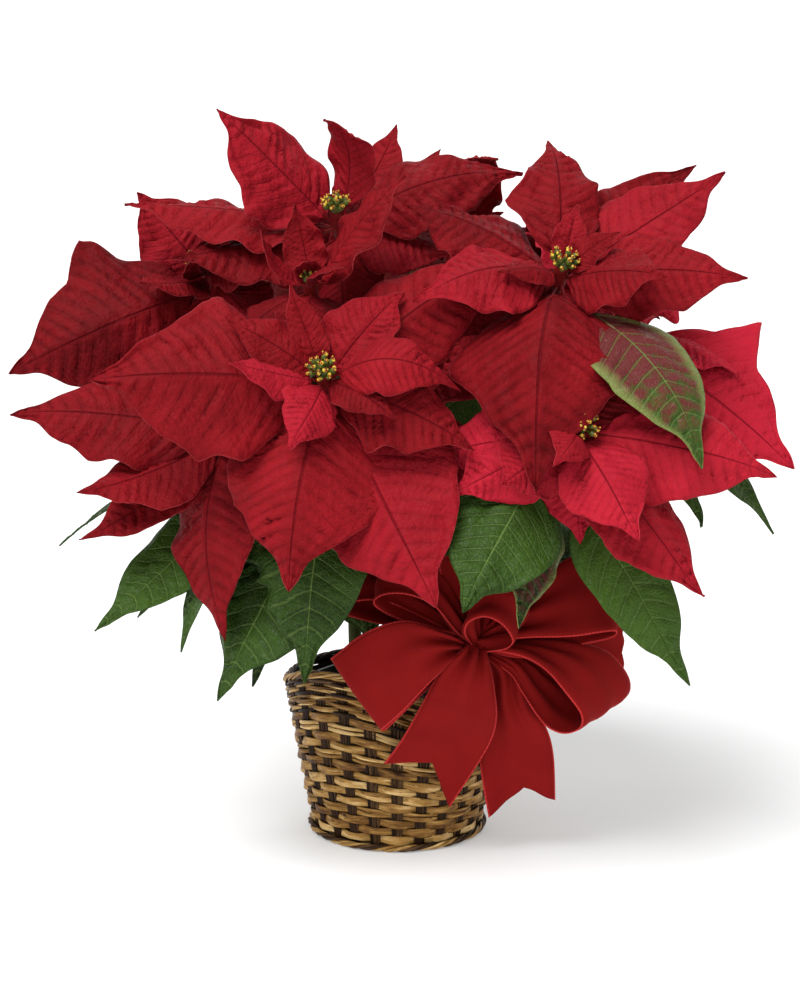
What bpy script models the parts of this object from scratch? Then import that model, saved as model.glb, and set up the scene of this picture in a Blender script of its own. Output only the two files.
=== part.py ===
"""A poinsettia in a woven basket, with a ribbon bow on a pick at the basket's front.

Metres, +Z up, the front faces -Y. The origin is where the basket's axis meets the surface it stands on.
Every bract and leaf is one thin blade: it has a natural pose, and it is bent, lifted or turned in small
steps until it is clear of what was placed before it, as crowded leaves push each other aside.
"""

import itertools
import math
import random

import bmesh
import bpy
from mathutils import Quaternion, Vector
from mathutils.bvhtree import BVHTree

MM = 0.001
UP = Vector((0, 0, 1))
SEAT_GAP = 0.3 * MM

# The basket: a tapered round wall, woven over and under upright stakes, with a raised ear front and back.
BASKET_HEIGHT = 110 * MM
BASKET_BASE_RADIUS = 59.5 * MM
BASKET_TOP_RADIUS = 80 * MM
BASKET_WALL = 4.5 * MM
BASKET_FLOOR = 4 * MM
STAKES = 24
WEAVER_ROWS = 13
WEAVE_DEPTH = 1.3 * MM
EAR_RISE = 21 * MM
EAR_AZIMUTHS = (-122, 58)
EAR_HALF_SPAN = 58
RIM_RADIUS = 3.4 * MM
FOOT_HEIGHT = 6 * MM
FOOT_WIDTH = 4.2 * MM

# The grower's pot inside the basket, and its soil.
POT_HEIGHT = 100 * MM
POT_BASE_RADIUS = 48 * MM
POT_TOP_RADIUS = 66 * MM
POT_WALL = 1.6 * MM
POT_LIP = 2.4 * MM
POT_LIP_HEIGHT = 9 * MM
SOIL_TOP = 94 * MM
SOIL_CROWN = 3 * MM
SOIL_CROWN_RADIUS = 40 * MM
HOLE_CLEARANCE = 0.4 * MM
ROOTING_DEPTH = 42 * MM
ROUND_SIDES = 24

# Unions are tidied by taking out edges between faces this near to one plane.
FLAT_ANGLE = math.radians(0.4)

# Stems: each plant is one trunk that forks into a branch for each of its blooms.
TRUNK_RADIUS = 6.0 * MM
TRUNK_SIDES = 8
BRANCH_RADIUS = 3.6 * MM
CORE_LENGTH = 24 * MM
CORE_RADIUS = 4.6 * MM
CYATHIA_RADIUS = 9.5 * MM

# Blades.
BLADE_THICKNESS = 0.9 * MM
PETIOLE_HALF_WIDTH = 1.3 * MM
CLEARANCE = 1.9 * MM
BASE_SWELL = 0.62
TIP_TAPER = 1.12

# The ribbon of the bow.
RIBBON_HALF_WIDTH = 31 * MM
RIBBON_THICKNESS = 0.8 * MM
BOW_CENTRE = Vector((51, -98, 158)) * MM
KNOT_RADIUS = 8.5 * MM
KNOT_FRONT = 8 * MM
KNOT_BACK = 14 * MM
WIRE_RADIUS = 1.4 * MM


def mm(*values):
    return Vector(values) * MM


# A plant: where its trunk stands in the soil, and how high it forks.
PLANTS = {
    "left_plant": {"at": mm(-26, -16, 0), "fork": mm(-30, -20, 150)},
    "right_plant": {"at": mm(30, -12, 0), "fork": mm(36, -14, 156)},
    "rear_plant": {"at": mm(0, 32, 0), "fork": mm(0, 36, 168)},
}

# A bloom: the plant that bears it, the top of its stem (mm), the way it faces, and how open its flowers are.
BLOOMS = {
    name: {"plant": plant, "at": mm(*at), "axis": Vector(axis).normalized(), "bud_share": bud_share}
    for name, plant, at, axis, bud_share in (
        ("centre_left", "left_plant", (-48, -130, 352), (-0.1, -0.74, 0.66), 1.0),
        ("upper_right", "right_plant", (109, -80, 414), (0.16, -0.62, 0.76), 1.0),
        ("top", "rear_plant", (-41, -15, 443), (-0.12, -0.42, 0.9), 1.0),
        ("lower_right", "right_plant", (118, -150, 321), (0.3, -0.85, 0.42), 1.0),
        ("far_left", "left_plant", (-134, 10, 403), (-0.45, -0.3, 0.84), 1.0),
        ("young", "rear_plant", (-58, -72, 404), (-0.1, -0.5, 0.86), 0.6),
        ("lower_left", "left_plant", (-121, -85, 309), (-0.62, -0.6, 0.5), 1.0),
        ("far_right", "right_plant", (160, -18, 372), (0.6, -0.2, 0.77), 1.0),
        ("rear_left", "rear_plant", (-112, 118, 384), (-0.55, 0.55, 0.62), 1.0),
        ("rear", "rear_plant", (14, 138, 404), (0.05, 0.66, 0.75), 1.0),
        ("rear_right", "right_plant", (128, 104, 388), (0.58, 0.52, 0.63), 1.0),
    )
}

# The bracts that the front shows: bloom, tip (mm), half-width (mm), arch (share of the length), roll
# (degrees), cup (rise of the margins as a share of the half-width), and how far a corner juts on the left
# and the right.
FRONT_BRACTS = (
    ("centre_left", (-70, -172, 218), 53, 0.16, 0, -0.16, 0.12, 0.0),
    ("centre_left", (25, -190, 213), 50, 0.10, 14, -0.05, 0.12, 0.25),
    ("upper_right", (88, -172, 283), 60, 0.18, 16, -0.26, 0.0, 0.1),
    ("centre_left", (-197, -150, 352), 52, 0.12, -14, -0.10, 0.0, 0.15),
    ("top", (-120, -20, 512), 36, 0.06, -10, 0.10, 0.12, 0.0),
    ("far_left", (-267, -20, 332), 47, 0.10, -58, -0.10, 0.0, 0.50),
    ("far_right", (269, -62, 274), 44, 0.12, 58, -0.06, 0.55, 0.0),
    ("lower_right", (245, -152, 290), 33, 0.10, 0, -0.1, 0.0, 0.0),
    ("lower_right", (151, -198, 257), 28, 0.12, 0, -0.1, 0.0, 0.0),
    ("lower_right", (195, -176, 214), 31, 0.14, 0, -0.08, 0.0, 0.0),
    ("upper_right", (230, -92, 408), 30, 0.10, 12, -0.1, 0.1, 0.0),
    ("upper_right", (220, -30, 470), 30, 0.05, 0, 0.12, 0.1, 0.1),
    ("top", (-185, -12, 446), 34, 0.14, 8, -0.05, 0.0, 0.0),
    ("top", (-140, -62, 436), 32, 0.14, -24, -0.1, 0.0, 0.0),
    ("lower_left", (-260, -62, 314), 33, 0.12, 4, -0.05, 0.0, 0.0),
    ("lower_left", (-210, -122, 284), 30, 0.10, 0, 0.05, 0.2, 0.0),
    ("lower_left", (-112, -132, 174), 37, 0.14, 8, 0.10, 0.1, 0.0),
    ("lower_left", (-210, -104, 234), 24, 0.10, 10, 0.15, 0.0, 0.0),
    ("top", (85, 12, 466), 32, 0.14, 16, -0.08, 0.0, 0.0),
    ("young", (5, -62, 472), 32, 0.06, -16, 0.16, 0.0, 0.0),
    ("centre_left", (70, -60, 416), 34, 0.12, 10, -0.12, 0.0, 0.0),
    ("centre_left", (5, -95, 398), 25, 0.02, 0, 0.40, 0.0, 0.0),
    ("centre_left", (55, -104, 372), 26, 0.12, 8, -0.1, 0.0, 0.0),
    ("centre_left", (50, -148, 306), 27, 0.12, 0, 0.05, 0.0, 0.2),
    ("upper_right", (8, -45, 451), 31, 0.10, 0, -0.22, 0.0, 0.0),
    ("upper_right", (10, -112, 396), 32, 0.12, 0, -0.1, 0.0, 0.0),
    ("upper_right", (122, -120, 323), 34, 0.12, 0, -0.1, 0.0, 0.0),
    ("upper_right", (205, 32, 470), 26, 0.06, 20, 0.05, 0.0, 0.0),
    ("upper_right", (105, 14, 486), 27, 0.06, 0, 0.12, 0.25, 0.0),
    ("lower_right", (67, -174, 288), 27, 0.12, 0, -0.1, 0.0, 0.0),
    ("lower_right", (35, -148, 276), 28, 0.10, 0, 0.05, 0.0, 0.0),
    ("lower_right", (168, -128, 366), 17, 0.06, 0, 0.2, 0.0, 0.0),
    ("far_left", (-180, 32, 450), 28, 0.14, 6, -0.1, 0.0, 0.0),
    ("far_left", (-88, -52, 414), 18, 0.18, 0, -0.1, 0.0, 0.0),
    ("far_left", (-172, -44, 398), 22, 0.14, 0, 0.1, 0.0, 0.0),
    ("top", (0, 48, 496), 24, 0.04, 0, 0.2, 0.0, 0.0),
    ("top", (32, 66, 476), 26, 0.08, 0, 0.1, 0.0, 0.0),
    ("centre_left", (-105, -166, 366), 15, 0.14, 0, -0.15, 0.0, 0.0),
    ("centre_left", (-70, -172, 313), 20, 0.14, 0, -0.1, 0.0, 0.0),
    ("centre_left", (0, -162, 328), 15, 0.16, 0, 0.1, 0.0, 0.0),
    ("centre_left", (-110, -122, 386), 19, 0.10, 0, 0.12, 0.0, 0.0),
    ("centre_left", (-70, -108, 406), 12, 0.02, 0, 0.4, 0.0, 0.0),
    ("top", (-40, -20, 512), 20, 0.03, 0, 0.45, 0.0, 0.0),
    ("young", (-85, -90, 440), 8, 0.02, 0, 0.3, 0.0, 0.0),
    ("young", (-68, -64, 452), 15, 0.04, 0, 0.25, 0.0, 0.0),
    ("young", (-34, -108, 417), 11, 0.16, 0, 0.1, 0.0, 0.0),
    ("young", (-58, -98, 420), 9, 0.20, 0, 0.1, 0.0, 0.0),
    ("top", (43, -15, 412), 30, 0.12, 0, -0.1, 0.0, 0.0),
    ("top", (-35, -45, 369), 30, 0.10, 0, -0.1, 0.0, 0.0),
    ("far_left", (-91, -40, 365), 28, 0.10, 0, -0.1, 0.0, 0.0),
    ("upper_right", (39, -72, 324), 32, 0.10, 0, -0.1, 0.0, 0.0),
    ("young", (-76, -72, 362), 22, 0.12, 0, -0.1, 0.0, 0.0),
    ("lower_right", (37, -112, 312), 26, 0.12, 0, -0.1, 0.0, 0.0),
    ("upper_right", (27, -88, 350), 27, 0.12, 0, -0.1, 0.0, 0.0),
    ("upper_right", (62, -112, 408), 13, 0.16, 0, -0.1, 0.0, 0.0),
    ("lower_right", (98, -192, 304), 15, 0.2, 0, -0.1, 0.0, 0.0),
    ("centre_left", (64, -158, 262), 30, 0.10, 0, -0.1, 0.0, 0.1),
    ("centre_left", (42, -128, 338), 22, 0.14, 0, -0.1, 0.0, 0.0),
    ("upper_right", (60, -118, 300), 30, 0.12, 0, -0.1, 0.0, 0.0),
    ("young", (-104, -100, 368), 22, 0.12, 0, -0.1, 0.0, 0.0),
    ("young", (-62, -112, 350), 21, 0.14, 0, -0.1, 0.0, 0.0),
    ("young", (-8, -104, 366), 23, 0.12, 0, -0.1, 0.0, 0.0),
    ("far_left", (-128, -66, 352), 28, 0.12, 0, -0.1, 0.0, 0.0),
    ("far_left", (-146, -44, 428), 15, 0.20, 0, 0.1, 0.0, 0.0),
    ("far_left", (-112, -34, 424), 15, 0.16, 0, 0.1, 0.0, 0.0),
    ("upper_right", (120, -50, 452), 11, 0.04, 0, 0.3, 0.0, 0.0),
    ("upper_right", (146, -82, 438), 12, 0.10, 0, 0.2, 0.0, 0.0),
    ("upper_right", (176, -118, 392), 26, 0.12, 0, -0.1, 0.0, 0.0),
    ("lower_left", (-128, -112, 248), 26, 0.12, 0, -0.1, 0.0, 0.0),
    ("lower_left", (-84, -112, 270), 26, 0.12, 0, -0.1, 0.0, 0.0),
    ("lower_right", (122, -158, 246), 24, 0.12, 0, -0.1, 0.0, 0.0),
)

# Bracts on the sides that the front doesn't show: bloom, how many stand in a ring, their length and
# half-width (mm), how far they lean out of the ring's plane (degrees, down is negative), and the ring's
# first direction.
HIDDEN_RINGS = (
    ("rear_left", 6, 122, 35, -12, 20),
    ("rear_left", 5, 66, 18, 24, 50),
    ("rear", 6, 124, 36, -8, 0),
    ("rear", 5, 66, 18, 26, 34),
    ("rear_right", 6, 122, 35, -12, 10),
    ("rear_right", 5, 66, 18, 24, 44),
    ("far_left", 5, 112, 33, -14, 70),
    ("far_right", 5, 112, 33, -14, 60),
    ("lower_left", 4, 84, 24, 4, 60),
    ("top", 5, 96, 29, 8, 40),
)
FRONT_FACING_LIMIT = -0.1
SAME_PLACE_DEGREES = 30

# Leaves that the front shows: bloom whose branch bears it, where on the branch (share of its length), tip
# (mm), half-width (mm), arch, roll, cup, and the corner on the left and the right. The proud ones lie over
# bracts.
PROUD_LEAVES = (
    ("upper_right", 0.97, (197, -172, 299), 31, 0.14, 0, -0.10, 0.0, 0.0),
)
FRONT_LEAVES = (
    ("lower_right", 0.86, (40, -190, 210), 34, 0.10, 0, -0.08, 0.0, 0.0),
    ("lower_right", 0.80, (190, -142, 144), 25, 0.10, 20, 0.06, 0.2, 0.0),
    ("lower_right", 0.74, (77, -172, 194), 21, 0.08, -30, 0.1, 0.2, 0.0),
    ("centre_left", 0.72, (-60, -150, 150), 31, 0.14, 0, -0.06, 0.0, 0.5),
    ("centre_left", 0.80, (-138, -155, 155), 37, 0.12, 10, -0.06, 0.0, 0.0),
    ("centre_left", 0.60, (-96, -120, 137), 22, 0.10, 0, 0.0, 0.0, 0.0),
    ("lower_left", 0.86, (-202, -115, 178), 24, 0.10, -14, 0.06, 0.0, 0.0),
    ("lower_left", 0.80, (-167, -125, 188), 21, 0.10, 18, 0.1, 0.0, 0.0),
    ("lower_left", 0.74, (-230, -60, 220), 17, 0.12, 30, 0.1, 0.0, 0.0),
    ("centre_left", 0.56, (-66, -66, 236), 26, 0.12, 0, 0.0, 0.0, 0.0),
    ("lower_right", 0.60, (16, -70, 208), 28, 0.12, 0, 0.0, 0.0, 0.0),
    ("far_right", 0.80, (206, -92, 242), 27, 0.12, 0, 0.0, 0.0, 0.0),
    ("far_right", 0.84, (260, -40, 224), 18, 0.12, 20, 0.1, 0.0, 0.0),
    ("far_right", 0.60, (155, -58, 144), 22, 0.12, 30, 0.0, 0.0, 0.0),
    ("far_left", 0.80, (-222, -14, 328), 24, 0.16, -40, 0.0, 0.0, 0.0),
)

# Leaves round the back: branch, how many, first and last place on it, length and half-width (mm), droop, and
# first azimuth.
HIDDEN_LEAVES = (
    ("rear_left", 4, 0.50, 0.86, 112, 28, -30, 100),
    ("rear", 4, 0.50, 0.86, 114, 29, -30, 60),
    ("rear_right", 4, 0.50, 0.86, 112, 28, -30, 10),
    ("far_left", 2, 0.55, 0.75, 108, 27, -34, 170),
    ("far_right", 2, 0.5, 0.7, 108, 27, -34, 20),
)
LEAF_TURN = 100

# How a blade may give way: arch, lift of the tip (shares of its length) and roll (degrees), gentlest first.
GIVE_STEPS = sorted(
    itertools.product(
        (0, 0.05, -0.05, 0.1, -0.1, 0.16, -0.16, 0.24),
        (0, 0.07, -0.07, 0.15, -0.15, 0.24, -0.24, 0.34),
        (0, 14, -14, 28, -28),
    ),
    key=lambda give: abs(give[0]) + abs(give[1]) + abs(give[2]) / 130,
)
SHORTER = (1.0, 0.86, 0.72)

LARGE_STATIONS = (0.0, 0.15, 0.32, 0.55, 0.80)
SMALL_STATIONS = (0.0, 0.18, 0.45, 0.76)
LEAF_STATIONS = (0.0, 0.26, 0.40, 0.58, 0.80)
BRACT_PETIOLE = 0.10
LEAF_PETIOLE = 0.22
SMALL_BRACT = 20 * MM


def clear_scene():
    for obj in list(bpy.data.objects):
        bpy.data.objects.remove(obj)


def material(name, colour, roughness):
    made = bpy.data.materials.new(name)
    made.use_nodes = True
    shader = made.node_tree.nodes["Principled BSDF"]
    shader.inputs["Base Color"].default_value = (*colour, 1)
    shader.inputs["Roughness"].default_value = roughness
    return made


def mesh_object(name, points, faces, finish=None):
    data = bpy.data.meshes.new(name)
    data.from_pydata([tuple(p) for p in points], [], faces)
    made = bpy.data.objects.new(name, data)
    bpy.context.scene.collection.objects.link(made)
    if finish:
        data.materials.append(finish)
    return made


def shells_of(mesh):
    """The faces of a bmesh in groups that hang together."""
    left = set(mesh.faces)
    while left:
        start = left.pop()
        shell, edge_of = [start], [start]
        while edge_of:
            for edge in edge_of.pop().edges:
                for face in edge.link_faces:
                    if face in left:
                        left.remove(face)
                        shell.append(face)
                        edge_of.append(face)
        yield shell


def signed_volume(faces):
    total = 0.0
    for face in faces:
        first = face.verts[0].co
        for a, b in zip(face.verts[1:], face.verts[2:]):
            total += first.dot(a.co.cross(b.co)) / 6
    return total


def tidy_union(body):
    """Keeps the outer shell alone, with no sealed pockets, and takes out the edges left across flat faces."""
    mesh = bmesh.new()
    mesh.from_mesh(body.data)
    shells = sorted(shells_of(mesh), key=signed_volume)
    bmesh.ops.delete(mesh, geom=[face for shell in shells[:-1] for face in shell], context="FACES")
    bmesh.ops.dissolve_limit(mesh, angle_limit=FLAT_ANGLE, verts=mesh.verts, edges=mesh.edges)
    bmesh.ops.triangulate(mesh, faces=mesh.faces)
    mesh.to_mesh(body.data)
    mesh.free()


def fused(name, pieces, finish):
    """One body from overlapping pieces: the first takes the others in by a Boolean union, then they go."""
    body, others = pieces[0], pieces[1:]
    body.name = body.data.name = name
    group = bpy.data.collections.new(name + "_pieces")
    bpy.context.scene.collection.children.link(group)
    for piece in others:
        bpy.context.scene.collection.objects.unlink(piece)
        group.objects.link(piece)
    union = body.modifiers.new("union", "BOOLEAN")
    union.operation = "UNION"
    union.solver = "MANIFOLD"
    union.operand_type = "COLLECTION"
    union.collection = group
    bpy.context.view_layer.objects.active = body
    bpy.ops.object.modifier_apply(modifier=union.name)
    tidy_union(body)
    for piece in others:
        bpy.data.objects.remove(piece)
    bpy.data.collections.remove(group)
    body.data.materials.clear()
    body.data.materials.append(finish)
    return body


# Blades

def outline(s, petiole):
    """Half-width of a blade at share s of its length, 1 at the widest: a slim petiole, then an ovate face."""
    if s <= petiole:
        return 0.0
    u = (s - petiole) / (1 - petiole)
    widest = BASE_SWELL / (BASE_SWELL + TIP_TAPER)
    peak = widest**BASE_SWELL * (1 - widest) ** TIP_TAPER
    return u**BASE_SWELL * (1 - u) ** TIP_TAPER / peak


def corner(s, jut):
    """A jutting corner, widest a little past the middle of the blade."""
    return 1 + jut * max(0.0, 1 - abs(s - 0.46) / 0.14)


def blade_pose(root, tip, axis, roll):
    """(along, face, side) of a blade: its upper face looks along axis as nearly as it can, then rolls."""
    along = (tip - root).normalized()
    face = (axis - along * axis.dot(along)).normalized()
    face.rotate(Quaternion(along, math.radians(roll)))
    return along, face, along.cross(face)


def blade_rows(shape, stations, petiole):
    """The left margin, midrib, right margin and upward direction of a blade at each station, and its tip."""
    root, tip = shape["root"], shape["tip"]
    along, face, side = blade_pose(root, tip, shape["axis"], shape["roll"])
    length = (tip - root).length
    crown = (root + tip) / 2 + face * 2 * shape["arch"] * length
    rows = []
    for s in stations:
        middle = root * (1 - s) ** 2 + crown * 2 * s * (1 - s) + tip * s * s
        heading = ((crown - root) * (1 - s) + (tip - crown) * s).normalized()
        upward = side.cross(heading)
        half = max(PETIOLE_HALF_WIDTH, shape["half_width"] * outline(s, petiole))
        left = half * corner(s, shape["left"])
        right = half * corner(s, shape["right"])
        rows.append((
            middle - side * left + upward * left * shape["cup"],
            middle,
            middle + side * right + upward * right * shape["cup"],
            upward,
        ))
    return rows, (tip, side.cross((tip - crown).normalized()))


def blade_faces(rows):
    """Triangles of a thin closed blade, split alike on both faces.

    A row is left, middle, right above, then the same below.
    """

    def above(row, column):
        return 6 * row + column

    def below(row, column):
        return 6 * row + 3 + column

    tip_above, tip_below = 6 * rows, 6 * rows + 1
    faces = [
        (below(0, 0), below(0, 1), above(0, 1), above(0, 0)),
        (below(0, 1), below(0, 2), above(0, 2), above(0, 1)),
    ]
    for row in range(rows - 1):
        for column, outer_way in ((0, True), (1, False)):
            a, b = (row, column), (row, column + 1)
            c, d = (row + 1, column + 1), (row + 1, column)
            for half in ((a, b, c), (a, c, d)) if outer_way else ((a, b, d), (b, c, d)):
                faces.append(tuple(above(*at) for at in half))
                faces.append(tuple(below(*at) for at in reversed(half)))
        faces.append((above(row + 1, 0), below(row + 1, 0), below(row, 0), above(row, 0)))
        faces.append((below(row, 2), below(row + 1, 2), above(row + 1, 2), above(row, 2)))
    last = rows - 1
    for column in (0, 1):
        faces.append((above(last, column), above(last, column + 1), tip_above))
        faces.append((below(last, column), tip_below, below(last, column + 1)))
    faces.append((tip_above, tip_below, below(last, 0), above(last, 0)))
    faces.append((below(last, 2), tip_below, tip_above, above(last, 2)))
    return faces


def blade_points(rows, tip, thickness):
    points = []
    for left, middle, right, upward in rows:
        shift = upward * thickness / 2
        points += [left + shift, middle + shift, right + shift, left - shift, middle - shift, right - shift]
    end, upward = tip
    return points + [end + upward * thickness / 2, end - upward * thickness / 2]


def box_of(points):
    return [(min(p[i] for p in points), max(p[i] for p in points)) for i in range(3)]


def apart(a, b):
    return any(a[i][1] < b[i][0] or b[i][1] < a[i][0] for i in range(3))


class Crowd:
    """What has been placed so far, for a new blade to keep clear of."""

    def __init__(self):
        self.placed = []

    def add(self, owner, points, faces):
        points = [tuple(p) for p in points]
        self.placed.append((owner, BVHTree.FromPolygons(points, faces), box_of(points)))

    def add_blade(self, owner, rows, tip):
        self.add(owner, blade_points(rows, tip, BLADE_THICKNESS), blade_faces(len(rows)))

    def blocks(self, owner, rows, tip):
        """Whether a blade's thickened shell meets anything; by its own kin only past its root."""
        shells = {}
        for skipped in (0, 1):
            points = blade_points(rows[skipped:], tip, 2 * CLEARANCE)
            points = [tuple(p) for p in points]
            faces = blade_faces(len(rows) - skipped)
            shells[skipped] = (BVHTree.FromPolygons(points, faces), box_of(points))
        for other, tree, box in self.placed:
            shell, shell_box = shells[1 if other == owner else 0]
            if not apart(shell_box, box) and shell.overlap(tree):
                return True
        return False


def settle_blade(crowd, owner, natural, stations, petiole):
    """The blade's rows in the gentlest pose that is clear of the crowd, or None."""
    for share in SHORTER:
        for arch, lift, roll in GIVE_STEPS:
            shape = dict(natural)
            _, face, _ = blade_pose(natural["root"], natural["tip"], natural["axis"], natural["roll"])
            reach = (natural["tip"] - natural["root"]) * share
            shape["tip"] = natural["root"] + reach + face * lift * reach.length
            shape["arch"] = natural["arch"] + arch
            shape["roll"] = natural["roll"] + roll
            shape["half_width"] = natural["half_width"] * (1 + share) / 2
            rows, tip = blade_rows(shape, stations, petiole)
            if not crowd.blocks(owner, rows, tip):
                return rows, tip
    return None


# Stems

def bezier(points, s):
    a, b, c, d = points
    return a * (1 - s) ** 3 + b * 3 * s * (1 - s) ** 2 + c * 3 * s * s * (1 - s) + d * s**3


def tube(name, path, radii, sides):
    """A closed tube through the points of path, with a flat cap on each end."""
    points, faces = [], []
    heading = (path[1] - path[0]).normalized()
    across = heading.orthogonal().normalized()
    for i, centre in enumerate(path):
        after = path[min(i + 1, len(path) - 1)] - path[max(i - 1, 0)]
        turned = after.normalized()
        across.rotate(heading.rotation_difference(turned))
        heading = turned
        other = heading.cross(across)
        for k in range(sides):
            angle = 2 * math.pi * k / sides
            points.append(centre + (across * math.cos(angle) + other * math.sin(angle)) * radii[i])
    for i in range(len(path) - 1):
        for k in range(sides):
            a, b = i * sides + k, i * sides + (k + 1) % sides
            faces.append((a, b, b + sides, a + sides))
    faces.append(tuple(reversed(range(sides))))
    faces.append(tuple(range(len(points) - sides, len(points))))
    return mesh_object(name, points, faces)


def branch_curve(bloom):
    """The four control points of the branch that carries a bloom, from the fork up to the bloom's foot."""
    fork = PLANTS[bloom["plant"]]["fork"]
    foot = bloom["at"] - bloom["axis"] * (CORE_LENGTH + SEAT_GAP)
    rise = (foot - fork).length
    return fork, fork + UP * rise * 0.30, foot - bloom["axis"] * rise * 0.34, foot


def faces_of(obj):
    return [v.co for v in obj.data.vertices], [tuple(p.vertices) for p in obj.data.polygons]


def make_stems(crowd):
    """Each plant's trunk and branches, as loose tubes that its leaves will be fused to."""
    stems = {}
    for name, plant in PLANTS.items():
        foot = plant["at"] + UP * (SOIL_TOP - ROOTING_DEPTH)
        fork = plant["fork"]
        path = [foot, foot.lerp(fork, 0.5) + UP * 6 * MM, fork + UP * 6 * MM]
        radii = [TRUNK_RADIUS * share for share in (1.0, 0.92, 0.72)]
        stems[name] = [tube(name, path, radii, TRUNK_SIDES)]
    for name, bloom in BLOOMS.items():
        curve = branch_curve(bloom)
        path = [bezier(curve, s) for s in (0, 0.25, 0.5, 0.75)]
        path += [curve[3] - bloom["axis"] * 4 * MM, curve[3]]
        radii = [BRANCH_RADIUS * share for share in (1.1, 1.08, 1.0, 1.0, 1.15, 1.2)]
        stems[bloom["plant"]].append(tube(name + "_branch", path, radii, 6))
    for plant, tubes in stems.items():
        for piece in tubes:
            crowd.add(plant, *faces_of(piece))
    return stems


# Blooms

def make_core(name, bloom):
    """The red stem tip that the bracts grow from."""
    foot = bloom["at"] - bloom["axis"] * CORE_LENGTH
    path = [foot, foot.lerp(bloom["at"], 0.6), bloom["at"]]
    return tube(name, path, (CORE_RADIUS, CORE_RADIUS * 1.08, CORE_RADIUS * 0.85), 8)


def make_cyathia(name, bloom, finish, crowd):
    """The true flowers: a tight head of small green-yellow cups on short stalks, round a middle one."""
    axis = bloom["axis"]
    across = axis.orthogonal().normalized()
    seat = bloom["at"] + axis * SEAT_GAP
    size = bloom["bud_share"]
    pad = tube(name, [seat, seat + axis * 4 * MM], (4.2 * MM, 3.0 * MM), 6)
    pieces = [pad]
    for count, spread, height in ((1, 0.0, 10.0), (5, 6.4 * size, 7.5)):
        for k in range(count):
            out = across.copy()
            out.rotate(Quaternion(axis, 2 * math.pi * k / count))
            top = seat + axis * height * MM + out * spread * MM
            start = seat + axis * 1.4 * MM + out * spread * 0.2 * MM
            path = [start, start.lerp(top, 0.72), top]
            pieces.append(tube(name, path, (1.1 * MM, 3.2 * MM * size, 1.6 * MM * size), 4))
    dome_sides = 8
    points = [seat + axis * (13 * MM)]
    for level, share in ((10 * MM, 0.8), (2 * MM, 1.0)):
        for k in range(dome_sides):
            out = across.copy()
            out.rotate(Quaternion(axis, 2 * math.pi * k / dome_sides))
            points.append(seat + axis * level + out * CYATHIA_RADIUS * share)
    faces = [(0, 1 + k, 1 + (k + 1) % dome_sides) for k in range(dome_sides)]
    faces += [
        (1 + k, 1 + dome_sides + k, 1 + dome_sides + (k + 1) % dome_sides, 1 + (k + 1) % dome_sides)
        for k in range(dome_sides)
    ]
    crowd.add(name, points, faces)
    return fused(name, pieces, finish)


def natural_bract(bloom, tip, half_width, arch, roll, cup, left, right, rank):
    """A bract's natural pose. rank 0 grows lowest on the stem tip, and 1 highest."""
    at, axis = bloom["at"], bloom["axis"]
    height = at - axis * CORE_LENGTH * (0.72 - 0.5 * rank)
    out = tip - height
    out = (out - axis * out.dot(axis)).normalized()
    return {
        "root": height + out * 1.5 * MM,
        "tip": tip,
        "axis": axis,
        "half_width": half_width,
        "arch": arch,
        "roll": roll,
        "cup": cup,
        "left": left,
        "right": right,
    }


def ring_bracts(placed):
    """The hidden bracts as rows like FRONT_BRACTS, with none where the front already has one."""
    rows = []
    rng = random.Random(7)
    for name, count, length, half_width, lean, first in HIDDEN_RINGS:
        bloom = BLOOMS[name]
        axis = bloom["axis"]
        level = UP.cross(axis).normalized()
        for k in range(count):
            azimuth = math.radians(first + 360 * k / count + rng.uniform(-9, 9))
            out = level.copy()
            out.rotate(Quaternion(axis, azimuth))
            reach = length * MM * rng.uniform(0.88, 1.08)
            slope = math.radians(lean + rng.uniform(-6, 6))
            tip = bloom["at"] + (out * math.cos(slope) + axis * math.sin(slope)) * reach
            fronted = any(
                out.angle(other) < math.radians(SAME_PLACE_DEGREES) for other in placed.get(name, ())
            )
            if fronted or (name in placed and out.y < FRONT_FACING_LIMIT):
                continue
            width = half_width * rng.uniform(0.9, 1.1)
            rows.append((name, tuple(tip / MM), width, 0.13, rng.uniform(-8, 8), -0.08, 0.0, 0.12 * (k % 2)))
    return rows


def make_cores(crowd, yellow):
    made = {name: [make_core(name + "_bracts", bloom)] for name, bloom in BLOOMS.items()}
    for name, bloom in BLOOMS.items():
        crowd.add(name, *faces_of(made[name][0]))
        make_cyathia(name + "_cyathia", bloom, yellow, crowd)
    return made


def front_directions():
    """Which ways each bloom's front bracts point, seen down its axis."""
    taken = {}
    for name, tip, *_ in FRONT_BRACTS:
        axis = BLOOMS[name]["axis"]
        out = mm(*tip) - BLOOMS[name]["at"]
        taken.setdefault(name, []).append((out - axis * out.dot(axis)).normalized())
    return taken


def grow_bracts(crowd, made, rows, large):
    for name, tip, half_width, arch, roll, cup, left, right in rows:
        small = half_width * MM < SMALL_BRACT
        rank = min(1.0, max(0.0, 1 - half_width / 45))
        natural = natural_bract(BLOOMS[name], mm(*tip), half_width * MM, arch, roll, cup, left, right, rank)
        stations = SMALL_STATIONS if small else large
        settled = settle_blade(crowd, name, natural, stations, BRACT_PETIOLE)
        if settled is None:
            continue
        rows, end = settled
        crowd.add_blade(name, rows, end)
        made[name].append(mesh_object(name, blade_points(rows, end, BLADE_THICKNESS), blade_faces(len(rows))))


# Leaves

def natural_leaf(bloom, place, tip, half_width, arch, roll, cup, left, right):
    curve = branch_curve(bloom)
    node = bezier(curve, place)
    out = (tip - node).normalized()
    return {
        "root": node + out * 1.2 * MM,
        "tip": tip,
        "axis": (UP + bloom["axis"] * 0.6).normalized(),
        "half_width": half_width,
        "arch": arch,
        "roll": roll,
        "cup": cup,
        "left": left,
        "right": right,
    }


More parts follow.
